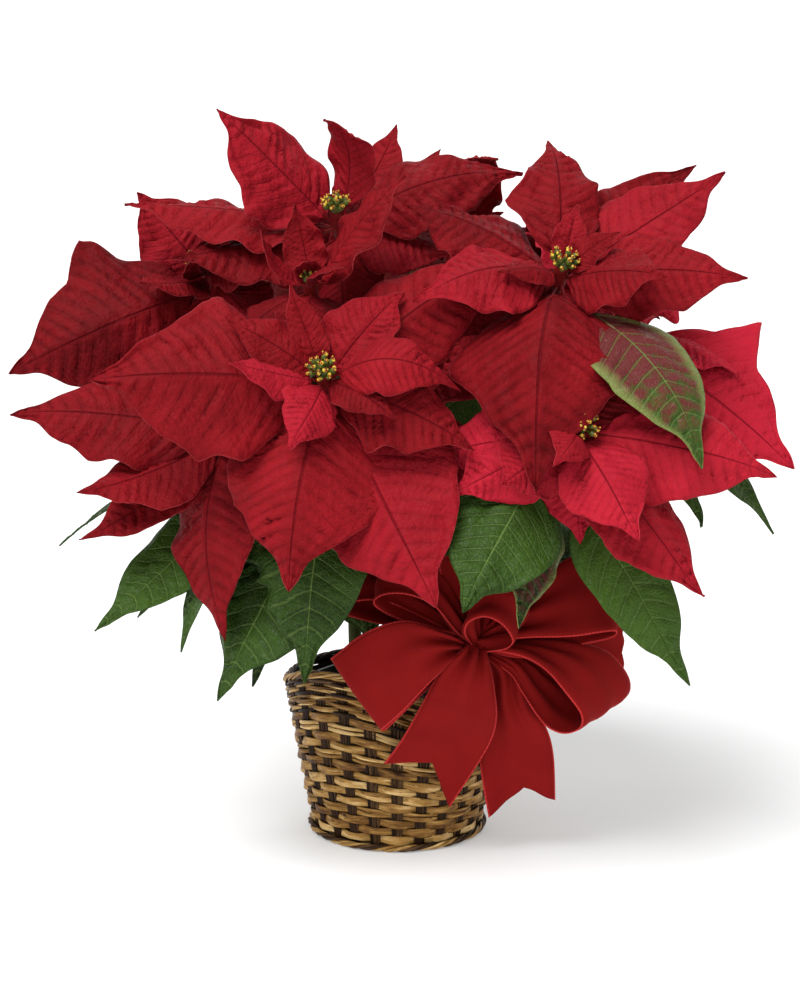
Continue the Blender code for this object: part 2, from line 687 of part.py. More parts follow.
def hidden_leaves():
    rows = []
    rng = random.Random(11)
    for name, count, first, last, length, half_width, droop, azimuth in HIDDEN_LEAVES:
        curve = branch_curve(BLOOMS[name])
        for k in range(count):
            place = first + (last - first) * k / max(1, count - 1)
            turn = math.radians(azimuth + LEAF_TURN * k)
            slope = math.radians(droop + rng.uniform(-10, 10))
            level = Vector((math.cos(turn), math.sin(turn), 0))
            out = level * math.cos(slope) + UP * math.sin(slope)
            tip = bezier(curve, place) + out * length * MM * rng.uniform(0.9, 1.1)
            width = half_width * rng.uniform(0.9, 1.1)
            roll = rng.uniform(-10, 10)
            rows.append((name, place, tuple(tip / MM), width, 0.12, roll, -0.05, 0.0, 0.15 * (k % 2)))
    return rows


def grow_leaves(crowd, stems, rows):
    for name, place, tip, half_width, arch, roll, cup, left, right in rows:
        bloom = BLOOMS[name]
        natural = natural_leaf(bloom, place, mm(*tip), half_width * MM, arch, roll, cup, left, right)
        settled = settle_blade(crowd, bloom["plant"], natural, LEAF_STATIONS, LEAF_PETIOLE)
        if settled is None:
            continue
        rows, end = settled
        crowd.add_blade(bloom["plant"], rows, end)
        stems[bloom["plant"]].append(
            mesh_object(name, blade_points(rows, end, BLADE_THICKNESS), blade_faces(len(rows)))
        )


# The bow

def ribbon(name, rows):
    """A thin closed strip through rows of (left, right, upward)."""
    points, faces = [], []
    for left, right, upward in rows:
        shift = upward * RIBBON_THICKNESS / 2
        points += [left + shift, right + shift, right - shift, left - shift]
    for i in range(len(rows) - 1):
        for k in range(4):
            a, b = 4 * i + k, 4 * i + (k + 1) % 4
            faces.append((a, b, b + 4, a + 4))
    faces.append((3, 2, 1, 0))
    end = 4 * (len(rows) - 1)
    faces.append((end, end + 1, end + 2, end + 3))
    return mesh_object(name, points, faces)


# Each loop: where the middle of its fold reaches (mm from the knot), the way the ribbon's width lies there,
# how far its two runs stand apart (mm), and the ribbon's half-width as a share of the full one.
BOW_LOOPS = (
    (mm(-77, -4, -30), Vector((0.57, 0.30, -0.75)), 18, 0.97),
    (mm(-80, 24, 6), Vector((0.42, 0.76, -0.50)), 20, 0.85),
    (mm(-67, 31, 52), Vector((0.0, 0.75, 0.66)), 22, 0.95),
    (mm(91, 19, 34), Vector((-0.10, 0.53, 0.84)), 15, 0.95),
    (mm(90, 23, -48), Vector((0.62, 0.73, 0.27)), 30, 0.95),
    (mm(104, 46, -12), Vector((0.10, 0.60, -0.79)), 16, 0.85),
    (mm(6, 26, 60), Vector((0.95, 0.15, 0.10)), 24, 0.9),
    (mm(31, -10, 25), Vector((0.38, 0.62, 0.68)), 26, 0.6),
)
# The tails: the left and right edge (mm from the knot) in rows from the knot to the swallow-tailed end, then
# the notch between its two points.
BOW_TAILS = (
    (
        (((-4, -4, 2), (5, -4, 1)), ((-8, -11, 2), (10, -11, -4)), ((-22, -13, -11), (14, -13, -24)),
         ((-35, -8, -37), (16, -8, -47)), ((-48, 4, -65), (10, 4, -72)), ((-60, 16, -86), (-15, 16, -118))),
        (-27, 16, -85),
    ),
    (
        (((2, -2, -3), (12, -2, -3)), ((7, 0, -15), (31, 2, -15)), ((6, 6, -36), (38, 6, -40)),
         ((5, 10, -61), (50, 10, -58)), ((6, 16, -89), (56, 16, -80)), ((12, 22, -127), (58, 22, -115))),
        (36, 22, -105),
    ),
)
LOOP_STEPS = 10


def bow_loop(name, reach, width_way, gap, share):
    out = reach.normalized()
    width_way = (width_way - out * width_way.dot(out)).normalized()
    open_way = out.cross(width_way)
    rows = []
    for k in range(LOOP_STEPS + 1):
        turn = 2 * math.pi * k / LOOP_STEPS
        far = (1 - math.cos(turn)) / 2
        spread = 0.65 * gap * MM * math.sin(turn) * math.sin(turn / 2) ** 0.8
        half = RIBBON_HALF_WIDTH * share * (0.2 + 0.8 * min(1.0, far / 0.5) ** 0.8)
        middle = BOW_CENTRE + reach * far + open_way * spread
        heading = reach * math.sin(turn) / 2 + open_way * gap * MM * 0.65 * math.cos(turn)
        upward = width_way.cross(heading.normalized())
        rows.append((middle - width_way * half, middle + width_way * half, upward))
    return ribbon(name, rows)


def bow_tail(name, edges, notch):
    """A tail with a swallow-tailed end: two points with a notch between them."""
    rows = [tuple(BOW_CENTRE + mm(*edge) for edge in row) for row in edges]
    points, faces = [], []
    for i, (left, right) in enumerate(rows):
        before, after = rows[max(i - 1, 0)], rows[min(i + 1, len(rows) - 1)]
        along = (after[0] + after[1] - before[0] - before[1]).normalized()
        shift = (right - left).cross(along).normalized() * RIBBON_THICKNESS / 2
        middle = (left + right) / 2 if i < len(rows) - 1 else BOW_CENTRE + mm(*notch)
        points += [left + shift, middle + shift, right + shift, right - shift, middle - shift, left - shift]
    for i in range(len(rows) - 1):
        for k in range(6):
            a, b = 6 * i + k, 6 * i + (k + 1) % 6
            above = k in (0, 1)
            faces += [(a, b, b + 6), (a, b + 6, a + 6)] if above else [(a, b, a + 6), (b, b + 6, a + 6)]
    end = 6 * (len(rows) - 1)
    for cap in ((0, 1, 4), (0, 4, 5), (1, 2, 3), (1, 3, 4)):
        faces.append(tuple(reversed(cap)))
        faces.append(tuple(end + k for k in cap))
    return mesh_object(name, points, faces)


def make_bow(crowd, red, wire_green):
    """Ribbon folded into loops and tails, pinched together at the knot, on a bent wire that holds it."""
    knot_path = [BOW_CENTRE + Vector((0, y, 0)) for y in (KNOT_BACK, 5 * MM, -4 * MM, -KNOT_FRONT)]
    knot = tube("bow", knot_path, (3.5 * MM, KNOT_RADIUS, KNOT_RADIUS, 4 * MM), 8)
    pieces = [knot]
    pieces += [bow_loop("bow", *loop) for loop in BOW_LOOPS]
    pieces += [bow_tail("bow", *tail) for tail in BOW_TAILS]
    for piece in pieces:
        crowd.add("bow", *faces_of(piece))
    fused("bow", pieces, red)
    wire = tube("bow_wire", wire_path(), (WIRE_RADIUS,) * 4, TRUNK_SIDES)
    wire.data.materials.append(wire_green)
    crowd.add("bow", *faces_of(wire))


def wire_path():
    """From behind the knot, over the basket's rim and down into the soil."""
    start = BOW_CENTRE + Vector((0, KNOT_BACK + SEAT_GAP, 0))
    entry = Vector((22 * MM, -38 * MM, SOIL_TOP))
    down = (entry - start).normalized()
    return [start, start + mm(0, 5, 0), entry, entry + down * 30 * MM]


# The basket, pot and soil

def ear(azimuth):
    """How far the rim stands above its plain height at this azimuth, as a share of the rise."""
    rise = 0.0
    for centre in EAR_AZIMUTHS:
        away = abs((math.degrees(azimuth) - centre + 180) % 360 - 180)
        if away < EAR_HALF_SPAN:
            rise = max(rise, (0.5 + 0.5 * math.cos(math.pi * away / EAR_HALF_SPAN)) ** 0.6)
    return rise


def wall_radius(share):
    return BASKET_BASE_RADIUS + (BASKET_TOP_RADIUS - BASKET_BASE_RADIUS) * share**0.85


def wall_top(azimuth):
    return BASKET_HEIGHT - RIM_RADIUS * 1.6 + EAR_RISE * ear(azimuth)


def make_basket(finish):
    """The wall and floor in one woven body: each weaver passes outside one stake and inside the next."""
    columns = 2 * STAKES
    points, faces = [], []
    plain = FOOT_HEIGHT / BASKET_HEIGHT
    woven = [plain + (1 - plain) * (row + 0.5) / WEAVER_ROWS for row in range(WEAVER_ROWS)]
    shares = [0.0] + woven + [1.0]
    for row, share in enumerate(shares):
        for column in range(columns):
            azimuth = 2 * math.pi * column / columns
            bulge = 0.0
            if 0 < row <= WEAVER_ROWS and column % 2 == 0:
                bulge = WEAVE_DEPTH * (1 if (column // 2 + row) % 2 else -1)
            radius = wall_radius(share) + bulge
            height = wall_top(azimuth) * share
            points.append(Vector((math.cos(azimuth) * radius, math.sin(azimuth) * radius, height)))
    for share, height in ((1.0, None), (0.04, BASKET_FLOOR)):
        for column in range(columns):
            azimuth = 2 * math.pi * column / columns
            radius = wall_radius(share) - BASKET_WALL
            level = height or wall_top(azimuth)
            points.append(Vector((math.cos(azimuth) * radius, math.sin(azimuth) * radius, level)))
    for row in range(len(shares) + 1):
        for column in range(columns):
            a, b = row * columns + column, row * columns + (column + 1) % columns
            faces.append((a, b, b + columns, a + columns))
    faces.append(tuple(reversed(range(columns))))
    faces.append(tuple(range(len(points) - columns, len(points))))
    return mesh_object("basket", points, faces, finish)


def ring(name, centres, section, finish):
    """A closed ring: section has the profile's (outward, upward) points, set at each centre."""
    points, faces = [], []
    for azimuth, radius, height in centres:
        for outward, upward in section:
            r = radius + outward
            points.append(Vector((math.cos(azimuth) * r, math.sin(azimuth) * r, height + upward)))
    sides, count = len(section), len(centres)
    for i in range(count):
        for k in range(sides):
            a, b = i * sides + k, i * sides + (k + 1) % sides
            c, d = ((i + 1) % count) * sides + (k + 1) % sides, ((i + 1) % count) * sides + k
            faces.append((a, d, c, b))
    return mesh_object(name, points, faces, finish)


def make_borders(finish):
    """The rolled rim on the wall's top edge, and the twisted border round its foot."""
    columns = 2 * STAKES
    azimuths = [2 * math.pi * column / columns for column in range(columns)]
    middle = wall_radius(1) - BASKET_WALL / 2
    rim = [(a, middle, wall_top(a) + SEAT_GAP + RIM_RADIUS * 0.8) for a in azimuths]
    angles = [math.radians(angle) for angle in (-60, 0, 90, 180, 240)]
    section = [(RIM_RADIUS * math.cos(a) * 1.05, RIM_RADIUS * 0.92 * max(-0.87, math.sin(a))) for a in angles]
    ring("basket_rim", rim, section, finish)
    foot = [(a, BASKET_BASE_RADIUS, 0.0) for a in azimuths[::2]]
    lean = wall_radius(FOOT_HEIGHT / BASKET_HEIGHT) - BASKET_BASE_RADIUS
    section = [
        (0.9 * MM, 0),
        (FOOT_WIDTH * 0.9, 0),
        (FOOT_WIDTH, FOOT_HEIGHT * 0.5),
        (FOOT_WIDTH * 0.9 + lean * 0.5, FOOT_HEIGHT - 0.4 * MM),
        (1.2 * MM + lean, FOOT_HEIGHT - 0.4 * MM),
    ]
    ring("basket_foot", foot, section, finish)


def turned(name, profile, finish):
    """A solid turned about the Z axis from (radius, height) points, the first and last on the axis."""
    points, faces = [Vector((0, 0, profile[0][1]))], []
    for radius, height in profile[1:-1]:
        for k in range(ROUND_SIDES):
            azimuth = 2 * math.pi * k / ROUND_SIDES
            points.append(Vector((math.cos(azimuth) * radius, math.sin(azimuth) * radius, height)))
    points.append(Vector((0, 0, profile[-1][1])))
    rings = len(profile) - 2
    for k in range(ROUND_SIDES):
        after = (k + 1) % ROUND_SIDES
        faces.append((0, 1 + after, 1 + k))
        for i in range(rings - 1):
            a, b = 1 + i * ROUND_SIDES + k, 1 + i * ROUND_SIDES + after
            faces.append((a, b, b + ROUND_SIDES, a + ROUND_SIDES))
        last = 1 + (rings - 1) * ROUND_SIDES
        faces.append((last + k, last + after, len(points) - 1))
    return mesh_object(name, points, faces, finish)


def make_pot(finish):
    base = BASKET_FLOOR + SEAT_GAP
    top = base + POT_HEIGHT
    lip = top - POT_LIP_HEIGHT
    shoulder = POT_BASE_RADIUS + (POT_TOP_RADIUS - POT_BASE_RADIUS) * (1 - POT_LIP_HEIGHT / POT_HEIGHT)
    profile = (
        (0, base),
        (POT_BASE_RADIUS, base),
        (shoulder, lip),
        (POT_TOP_RADIUS + POT_LIP - POT_WALL, lip),
        (POT_TOP_RADIUS + POT_LIP - POT_WALL, top),
        (POT_TOP_RADIUS - POT_WALL, top),
        (POT_BASE_RADIUS - POT_WALL, base + POT_WALL),
        (0, base + POT_WALL),
    )
    return turned("grower_pot", profile, finish)


def make_soil(finish):
    """Potting soil up to just under the pot's lip, with a plain hole for each trunk and for the wire."""
    base = BASKET_FLOOR + SEAT_GAP + POT_WALL + SEAT_GAP
    shoulder = SOIL_TOP - SOIL_CROWN
    foot_radius = POT_BASE_RADIUS - POT_WALL - SEAT_GAP * 1.5
    slope = (POT_TOP_RADIUS - POT_BASE_RADIUS) / POT_HEIGHT
    profile = (
        (0, base),
        (foot_radius, base),
        (foot_radius + slope * (shoulder - base), shoulder),
        (SOIL_CROWN_RADIUS, SOIL_TOP),
        (0, SOIL_TOP),
    )
    soil = turned("soil", profile, finish)
    holes = {}
    for name, plant in PLANTS.items():
        foot = plant["at"] + UP * (SOIL_TOP - ROOTING_DEPTH)
        holes[name] = (foot, (plant["fork"] - foot).normalized(), TRUNK_RADIUS)
    *_, above, end = wire_path()
    holes["bow_wire"] = (end, (above - end).normalized(), WIRE_RADIUS)
    for name, (foot, up_hole, stem_radius) in holes.items():
        radius = (stem_radius + HOLE_CLEARANCE) / math.cos(math.pi / TRUNK_SIDES)
        path = [foot - up_hole * SEAT_GAP, foot + up_hole * ROOTING_DEPTH * 2]
        cutter = tube(name + "_hole", path, (radius, radius), TRUNK_SIDES)
        cutter.hide_render = True
        cutter.display_type = "WIRE"
        cut = soil.modifiers.new(name + "_hole", "BOOLEAN")
        cut.operation = "DIFFERENCE"
        cut.object = cutter
    return soil


def main():
    clear_scene()
    red = material("bract_red", (0.42, 0.012, 0.02), 0.6)
    green = material("leaf_green", (0.045, 0.13, 0.03), 0.5)
    yellow = material("cyathium_yellow", (0.45, 0.42, 0.05), 0.5)
    velvet = material("ribbon_red", (0.30, 0.008, 0.008), 0.8)
    wicker = material("wicker", (0.36, 0.2, 0.08), 0.6)
    plastic = material("pot_plastic", (0.03, 0.05, 0.03), 0.4)
    earth = material("soil", (0.03, 0.018, 0.01), 0.95)
    crowd = Crowd()
    basket = make_basket(wicker)
    crowd.add("basket", *faces_of(basket))
    make_borders(wicker)
    crowd.add("basket", *faces_of(bpy.data.objects["basket_rim"]))
    make_pot(plastic)
    crowd.add("soil", *faces_of(make_soil(earth)))
    make_bow(crowd, velvet, plastic)
    stems = make_stems(crowd)
    bracts = make_cores(crowd, yellow)
    grow_leaves(crowd, stems, PROUD_LEAVES)
    grow_bracts(crowd, bracts, FRONT_BRACTS, LARGE_STATIONS)
    grow_leaves(crowd, stems, FRONT_LEAVES)
    grow_bracts(crowd, bracts, ring_bracts(front_directions()), SMALL_STATIONS)
    grow_leaves(crowd, stems, hidden_leaves())
    for name, pieces in bracts.items():
        fused(name + "_bracts", pieces, red)
    for plant, pieces in stems.items():
        fused(plant, pieces, green)


main()
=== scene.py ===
import itertools
import math
import random

import bpy
import numpy as np
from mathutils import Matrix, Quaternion, Vector
from mathutils.kdtree import KDTree


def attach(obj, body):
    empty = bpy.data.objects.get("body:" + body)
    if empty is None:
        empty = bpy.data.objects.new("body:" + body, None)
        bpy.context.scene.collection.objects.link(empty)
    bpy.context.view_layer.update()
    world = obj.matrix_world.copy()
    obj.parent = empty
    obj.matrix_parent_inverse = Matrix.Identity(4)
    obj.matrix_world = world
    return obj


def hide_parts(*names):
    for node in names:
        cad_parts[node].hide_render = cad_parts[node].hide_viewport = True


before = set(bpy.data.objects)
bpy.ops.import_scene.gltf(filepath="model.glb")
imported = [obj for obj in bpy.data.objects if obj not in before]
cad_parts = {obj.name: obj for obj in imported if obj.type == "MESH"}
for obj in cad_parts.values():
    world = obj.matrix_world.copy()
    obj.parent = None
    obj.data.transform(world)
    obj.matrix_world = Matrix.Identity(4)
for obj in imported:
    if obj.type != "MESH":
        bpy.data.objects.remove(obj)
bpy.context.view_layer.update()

# The red bracts. Living leaves, coloured crimson, a ring of large ones and a crown of small ones to each flower
# head. Each is a thin velvety blade on a short stalk, folded along its midrib and pleated by its side veins.
MM = 0.001
UP = Vector((0, 0, 1))


def mm(*values):
    return Vector(values) * MM


def placed(name, mesh):
    """A new object in the scene, of a mesh or of other data."""
    made = bpy.data.objects.new(name, mesh)
    bpy.context.scene.collection.objects.link(made)
    return made


PLANTS = {
    "left_plant": {"at": mm(-26, -16, 0), "fork": mm(-30, -20, 150)},
    "right_plant": {"at": mm(30, -12, 0), "fork": mm(36, -14, 156)},
    "rear_plant": {"at": mm(0, 32, 0), "fork": mm(0, 36, 168)},
}
HEADS = {
    "centre_left": ("left_plant", (-48, -130, 352), (-0.1, -0.74, 0.66)),
    "upper_right": ("right_plant", (109, -80, 414), (0.16, -0.62, 0.76)),
    "top": ("rear_plant", (-41, -15, 443), (-0.12, -0.42, 0.9)),
    "lower_right": ("right_plant", (118, -150, 321), (0.3, -0.85, 0.42)),
    "far_left": ("left_plant", (-134, 10, 403), (-0.45, -0.3, 0.84)),
    "young": ("rear_plant", (-58, -72, 404), (-0.1, -0.5, 0.86)),
    "lower_left": ("left_plant", (-121, -85, 309), (-0.62, -0.6, 0.5)),
    "far_right": ("right_plant", (160, -18, 372), (0.6, -0.2, 0.77)),
    "rear_left": ("rear_plant", (-112, 118, 384), (-0.55, 0.55, 0.62)),
    "rear": ("rear_plant", (14, 138, 404), (0.05, 0.66, 0.75)),
    "rear_right": ("right_plant", (128, 104, 388), (0.58, 0.52, 0.63)),
}
HEADS = {
    name: {"plant": plant, "at": mm(*at), "axis": Vector(axis).normalized()}
    for name, (plant, at, axis) in HEADS.items()
}
CORE_LENGTH = 24 * MM
CORE_RADIUS = 4.6 * MM
SOLID_THICKNESS = 0.9 * MM
BLADE_THICKNESS = 0.55 * MM
PETIOLE_RADIUS = 1.25 * MM
BRACT_PETIOLE = 0.10
BRACT_VEINS = 13
FULL_HALF_WIDTH = 40 * MM
SMALL_HALF_WIDTH = 20 * MM
LEAST_HALF_WIDTH = 0.5 * MM
WELD_DISTANCE = 0.00002

# Head, tip (mm), half-width (mm), arch (share of the length), roll (degrees), cup, and how far a corner juts on the
# left and on the right. Rows that end early take the usual roll, cup and corners.
FRONT_BRACTS = (
    ("centre_left", (-70, -172, 218), 53, 0.16, 0, -0.16, 0.12),
    ("centre_left", (25, -190, 213), 50, 0.1, 14, -0.05, 0.12, 0.25),
    ("upper_right", (88, -172, 283), 60, 0.18, 16, -0.26, 0.0, 0.1),
    ("centre_left", (-197, -150, 352), 52, 0.12, -14, -0.1, 0.0, 0.15),
    ("top", (-120, -20, 512), 36, 0.06, -10, 0.1, 0.12),
    ("far_left", (-267, -20, 332), 47, 0.1, -58, -0.1, 0.0, 0.5),
    ("far_right", (269, -62, 274), 44, 0.12, 58, -0.06, 0.55),
    ("lower_right", (245, -152, 290), 33, 0.1),
    ("lower_right", (151, -198, 257), 28, 0.12),
    ("lower_right", (195, -176, 214), 31, 0.14, 0, -0.08),
    ("upper_right", (230, -92, 408), 30, 0.1, 12, -0.1, 0.1),
    ("upper_right", (220, -30, 470), 30, 0.05, 0, 0.12, 0.1, 0.1),
    ("top", (-185, -12, 446), 34, 0.14, 8, -0.05),
    ("top", (-140, -62, 436), 32, 0.14, -24),
    ("lower_left", (-260, -62, 314), 33, 0.12, 4, -0.05),
    ("lower_left", (-210, -122, 284), 30, 0.1, 0, 0.05, 0.2),
    ("lower_left", (-112, -132, 174), 37, 0.14, 8, 0.1, 0.1),
    ("lower_left", (-210, -104, 234), 24, 0.1, 10, 0.15),
    ("top", (85, 12, 466), 32, 0.14, 16, -0.08),
    ("young", (5, -62, 472), 32, 0.06, -16, 0.16),
    ("centre_left", (70, -60, 416), 34, 0.12, 10, -0.12),
    ("centre_left", (5, -95, 398), 25, 0.02, 0, 0.4),
    ("centre_left", (55, -104, 372), 26, 0.12, 8),
    ("centre_left", (50, -148, 306), 27, 0.12, 0, 0.05, 0.0, 0.2),
    ("upper_right", (8, -45, 451), 31, 0.1, 0, -0.22),
    ("upper_right", (10, -112, 396), 32, 0.12),
    ("upper_right", (122, -120, 323), 34, 0.12),
    ("upper_right", (205, 32, 470), 26, 0.06, 20, 0.05),
    ("upper_right", (105, 14, 486), 27, 0.06, 0, 0.12, 0.25),
    ("lower_right", (67, -174, 288), 27, 0.12),
    ("lower_right", (35, -148, 276), 28, 0.1, 0, 0.05),
    ("lower_right", (168, -128, 366), 17, 0.06, 0, 0.2),
    ("far_left", (-180, 32, 450), 28, 0.14, 6),
    ("far_left", (-88, -52, 414), 18, 0.18),
    ("far_left", (-172, -44, 398), 22, 0.14, 0, 0.1),
    ("top", (0, 48, 496), 24, 0.04, 0, 0.2),
    ("top", (32, 66, 476), 26, 0.08, 0, 0.1),
    ("centre_left", (-105, -166, 366), 15, 0.14, 0, -0.15),
    ("centre_left", (-70, -172, 313), 20, 0.14),
    ("centre_left", (0, -162, 328), 15, 0.16, 0, 0.1),
    ("centre_left", (-110, -122, 386), 19, 0.1, 0, 0.12),
    ("centre_left", (-70, -108, 406), 12, 0.02, 0, 0.4),
    ("top", (-40, -20, 512), 20, 0.03, 0, 0.45),
    ("young", (-85, -90, 440), 8, 0.02, 0, 0.3),
    ("young", (-68, -64, 452), 15, 0.04, 0, 0.25),
    ("young", (-34, -108, 417), 11, 0.16, 0, 0.1),
    ("young", (-58, -98, 420), 9, 0.2, 0, 0.1),
    ("top", (43, -15, 412), 30, 0.12),
    ("top", (-35, -45, 369), 30, 0.1),
    ("far_left", (-91, -40, 365), 28, 0.1),
    ("upper_right", (39, -72, 324), 32, 0.1),
    ("young", (-76, -72, 362), 22, 0.12),
    ("lower_right", (37, -112, 312), 26, 0.12),
    ("upper_right", (27, -88, 350), 27, 0.12),
    ("upper_right", (62, -112, 408), 13, 0.16),
    ("lower_right", (98, -192, 304), 15, 0.2),
    ("centre_left", (64, -158, 262), 30, 0.1, 0, -0.1, 0.0, 0.1),
    ("centre_left", (42, -128, 338), 22, 0.14),
    ("upper_right", (60, -118, 300), 30, 0.12),
    ("young", (-104, -100, 368), 22, 0.12),
    ("young", (-62, -112, 350), 21, 0.14),
    ("young", (-8, -104, 366), 23, 0.12),
    ("far_left", (-128, -66, 352), 28, 0.12),
    ("far_left", (-146, -44, 428), 15, 0.2, 0, 0.1),
    ("far_left", (-112, -34, 424), 15, 0.16, 0, 0.1),
    ("upper_right", (120, -50, 452), 11, 0.04, 0, 0.3),
    ("upper_right", (146, -82, 438), 12, 0.1, 0, 0.2),
    ("upper_right", (176, -118, 392), 26, 0.12),
    ("lower_left", (-128, -112, 248), 26, 0.12),
    ("lower_left", (-84, -112, 270), 26, 0.12),
    ("lower_right", (122, -158, 246), 24, 0.12),
)
# Deep inside the plant, behind the others: they close the view through it.
INNER_BRACTS = (
    ("upper_right", (19, -62, 311), 30, 0.1),
    ("lower_right", (27, -118, 262), 27, 0.1),
    ("lower_right", (22, -122, 296), 26, 0.1),
    ("upper_right", (22, -52, 350), 26, 0.1),
    ("far_right", (232, -46, 338), 34, 0.1, 0, -0.1, 0.1),
    ("far_right", (205, -40, 388), 26, 0.08, 0, 0.1),
    ("lower_right", (148, -100, 350), 24, 0.04, 0, 0.2),
    ("lower_right", (84, -120, 360), 22, 0.04, 0, 0.2),
    ("young", (-92, -84, 326), 24, 0.1),
    ("upper_right", (139, -92, 251), 34, 0.08),
    ("far_right", (79, 12, 407), 27, 0.08),
    ("centre_left", (69, -80, 269), 30, 0.08),
)
# Head, how many in the ring, length and half-width (mm), lean (degrees) and the ring's first direction.
HIDDEN_RINGS = (
    ("rear_left", 6, 122, 35, -12, 20),
    ("rear_left", 5, 66, 18, 24, 50),
    ("rear", 6, 124, 36, -8, 0),
    ("rear", 5, 66, 18, 26, 34),
    ("rear_right", 6, 122, 35, -12, 10),
    ("rear_right", 5, 66, 18, 24, 44),
    ("far_left", 5, 112, 33, -14, 70),
    ("far_right", 5, 112, 33, -14, 60),
    ("lower_left", 4, 84, 24, 4, 60),
    ("top", 5, 96, 29, 8, 40),
)
GIVE_STEPS = sorted(
    itertools.product(
        (0, 0.05, -0.05, 0.1, -0.1, 0.16, -0.16, 0.24),
        (0, 0.07, -0.07, 0.15, -0.15, 0.24, -0.24, 0.34),
        (0, 14, -14, 28, -28),
    ),
    key=lambda give: abs(give[0]) + abs(give[1]) + abs(give[2]) / 130,
)


def outline(s, petiole):
    """A blade's half-width at a share s of its length, 1 at the widest."""
    foot, tip = 0.62, 1.12
    u = np.clip((s - petiole) / (1 - petiole), 0, 1)
    widest = foot / (foot + tip)
    return u**foot * (1 - u) ** tip / (widest**foot * (1 - widest) ** tip)


def blade_pose(root, tip, axis, roll):
    along = (tip - root).normalized()
    face = (axis - along * axis.dot(along)).normalized()
    face.rotate(Quaternion(along, math.radians(roll)))
    return along, face, along.cross(face)


def points_of(node):
    """A tree of a solid's corners."""
    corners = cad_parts[node].data.vertices
    tree = KDTree(len(corners))
    for i, corner in enumerate(corners):
        tree.insert(corner.co, i)
    tree.balance()
    return tree


def settled(tree, natural):
    """The pose that this blade took in the solid, found by its two tip corners, or None where it had no room."""
    near = 0.02 * MM
    root, axis = natural["root"], natural["axis"]
    reach = natural["tip"] - root
    _, face, _ = blade_pose(root, natural["tip"], axis, natural["roll"])
    for share in (1.0, 0.86, 0.72):
        half_width = natural["half_width"] * (1 + share) / 2
        for arch, lift, roll in GIVE_STEPS:
            tip = root + reach * share + face * lift * reach.length * share
            if tree.find(tip)[2] > SOLID_THICKNESS:
                continue
            _, up, side = blade_pose(root, tip, axis, natural["roll"] + roll)
            crown = (root + tip) / 2 + up * 2 * (natural["arch"] + arch) * (tip - root).length
            half = side.cross((tip - crown).normalized()) * SOLID_THICKNESS / 2
            if tree.find(tip + half)[2] < near and tree.find(tip - half)[2] < near:
                return dict(natural, tip=tip, crown=crown, side=side, half_width=half_width)
    return None


def unsettled(natural):
    """The pose of a blade that the solid has no room for, among the others."""
    root, tip = natural["root"], natural["tip"]
    _, up, across = blade_pose(root, tip, natural["axis"], natural["roll"])
    rise = up * 2 * natural["arch"] * (tip - root).length
    return dict(natural, crown=(root + tip) / 2 + rise, side=across)


def natural_shape(root, axis, tip, half_width, arch, roll, cup, left, right):
    """A blade as it would stand with nothing in its way."""
    return {
        "root": root, "tip": mm(*tip), "axis": axis, "half_width": half_width * MM,
        "arch": arch, "roll": roll, "cup": cup, "left": left, "right": right,
    }


def bract_shape(head, tip, half_width, arch, roll=0, cup=-0.1, left=0.0, right=0.0):
    at, axis = head["at"], head["axis"]
    rank = min(1.0, max(0.0, 1 - half_width / 45))
    height = at - axis * CORE_LENGTH * (0.72 - 0.5 * rank)
    out = mm(*tip) - height
    out = (out - axis * out.dot(axis)).normalized()
    return natural_shape(height + out * 1.5 * MM, axis, tip, half_width, arch, roll, cup, left, right)


def ring_rows():
    """The bracts away from the front, in rings, with none where the front already has one."""
    taken = {}
    for name, tip, *_ in FRONT_BRACTS:
        axis = HEADS[name]["axis"]
        out = mm(*tip) - HEADS[name]["at"]
        taken.setdefault(name, []).append((out - axis * out.dot(axis)).normalized())
    rows = []
    rng = random.Random(7)
    for name, count, length, half_width, lean, first in HIDDEN_RINGS:
        head = HEADS[name]
        axis = head["axis"]
        level = UP.cross(axis).normalized()
        for k in range(count):
            azimuth = math.radians(first + 360 * k / count + rng.uniform(-9, 9))
            out = level.copy()
            out.rotate(Quaternion(axis, azimuth))
            reach = length * MM * rng.uniform(0.88, 1.08)
            slope = math.radians(lean + rng.uniform(-6, 6))
            tip = head["at"] + (out * math.cos(slope) + axis * math.sin(slope)) * reach
            fronted = any(out.angle(other) < math.radians(30) for other in taken.get(name, ()))
            if fronted or (name in taken and out.y < -0.1):
                continue
            rows.append((name, tuple(tip / MM), half_width * rng.uniform(0.9, 1.1), 0.13, rng.uniform(-8, 8),
                         -0.08, 0.0, 0.12 * (k % 2)))
    return rows


def deselect():
    for obj in bpy.context.selected_objects:
        obj.select_set(False)


def select_only(*pieces):
    deselect()
    for piece in pieces:
        piece.select_set(True)
    bpy.context.view_layer.objects.active = pieces[0]


def unit_blade(name, columns, rows):
    """A flat grid one wide and one long, that every blade is a copy of."""
    deselect()
    bpy.ops.mesh.primitive_grid_add(x_subdivisions=columns, y_subdivisions=rows, size=1)
    grid = bpy.context.object
    mesh = grid.data
    mesh.name = name
    mesh.use_fake_user = True
    bpy.data.objects.remove(grid)
    return mesh


LARGE_GRID = unit_blade("large_blade", 24, 72)
SMALL_GRID = unit_blade("small_blade", 16, 40)


def grid_shares(grid):
    """Shares along and across, with more rows near both ends and more columns near the midrib."""
    flat = np.empty(len(grid.vertices) * 3)
    grid.vertices.foreach_get("co", flat)
    flat = flat.reshape(-1, 3)
    v = flat[:, 1] + 0.5
    t = flat[:, 0] * 2
    return v - 0.05 * np.sin(2 * np.pi * v), np.sign(t) * np.abs(t) ** 1.15


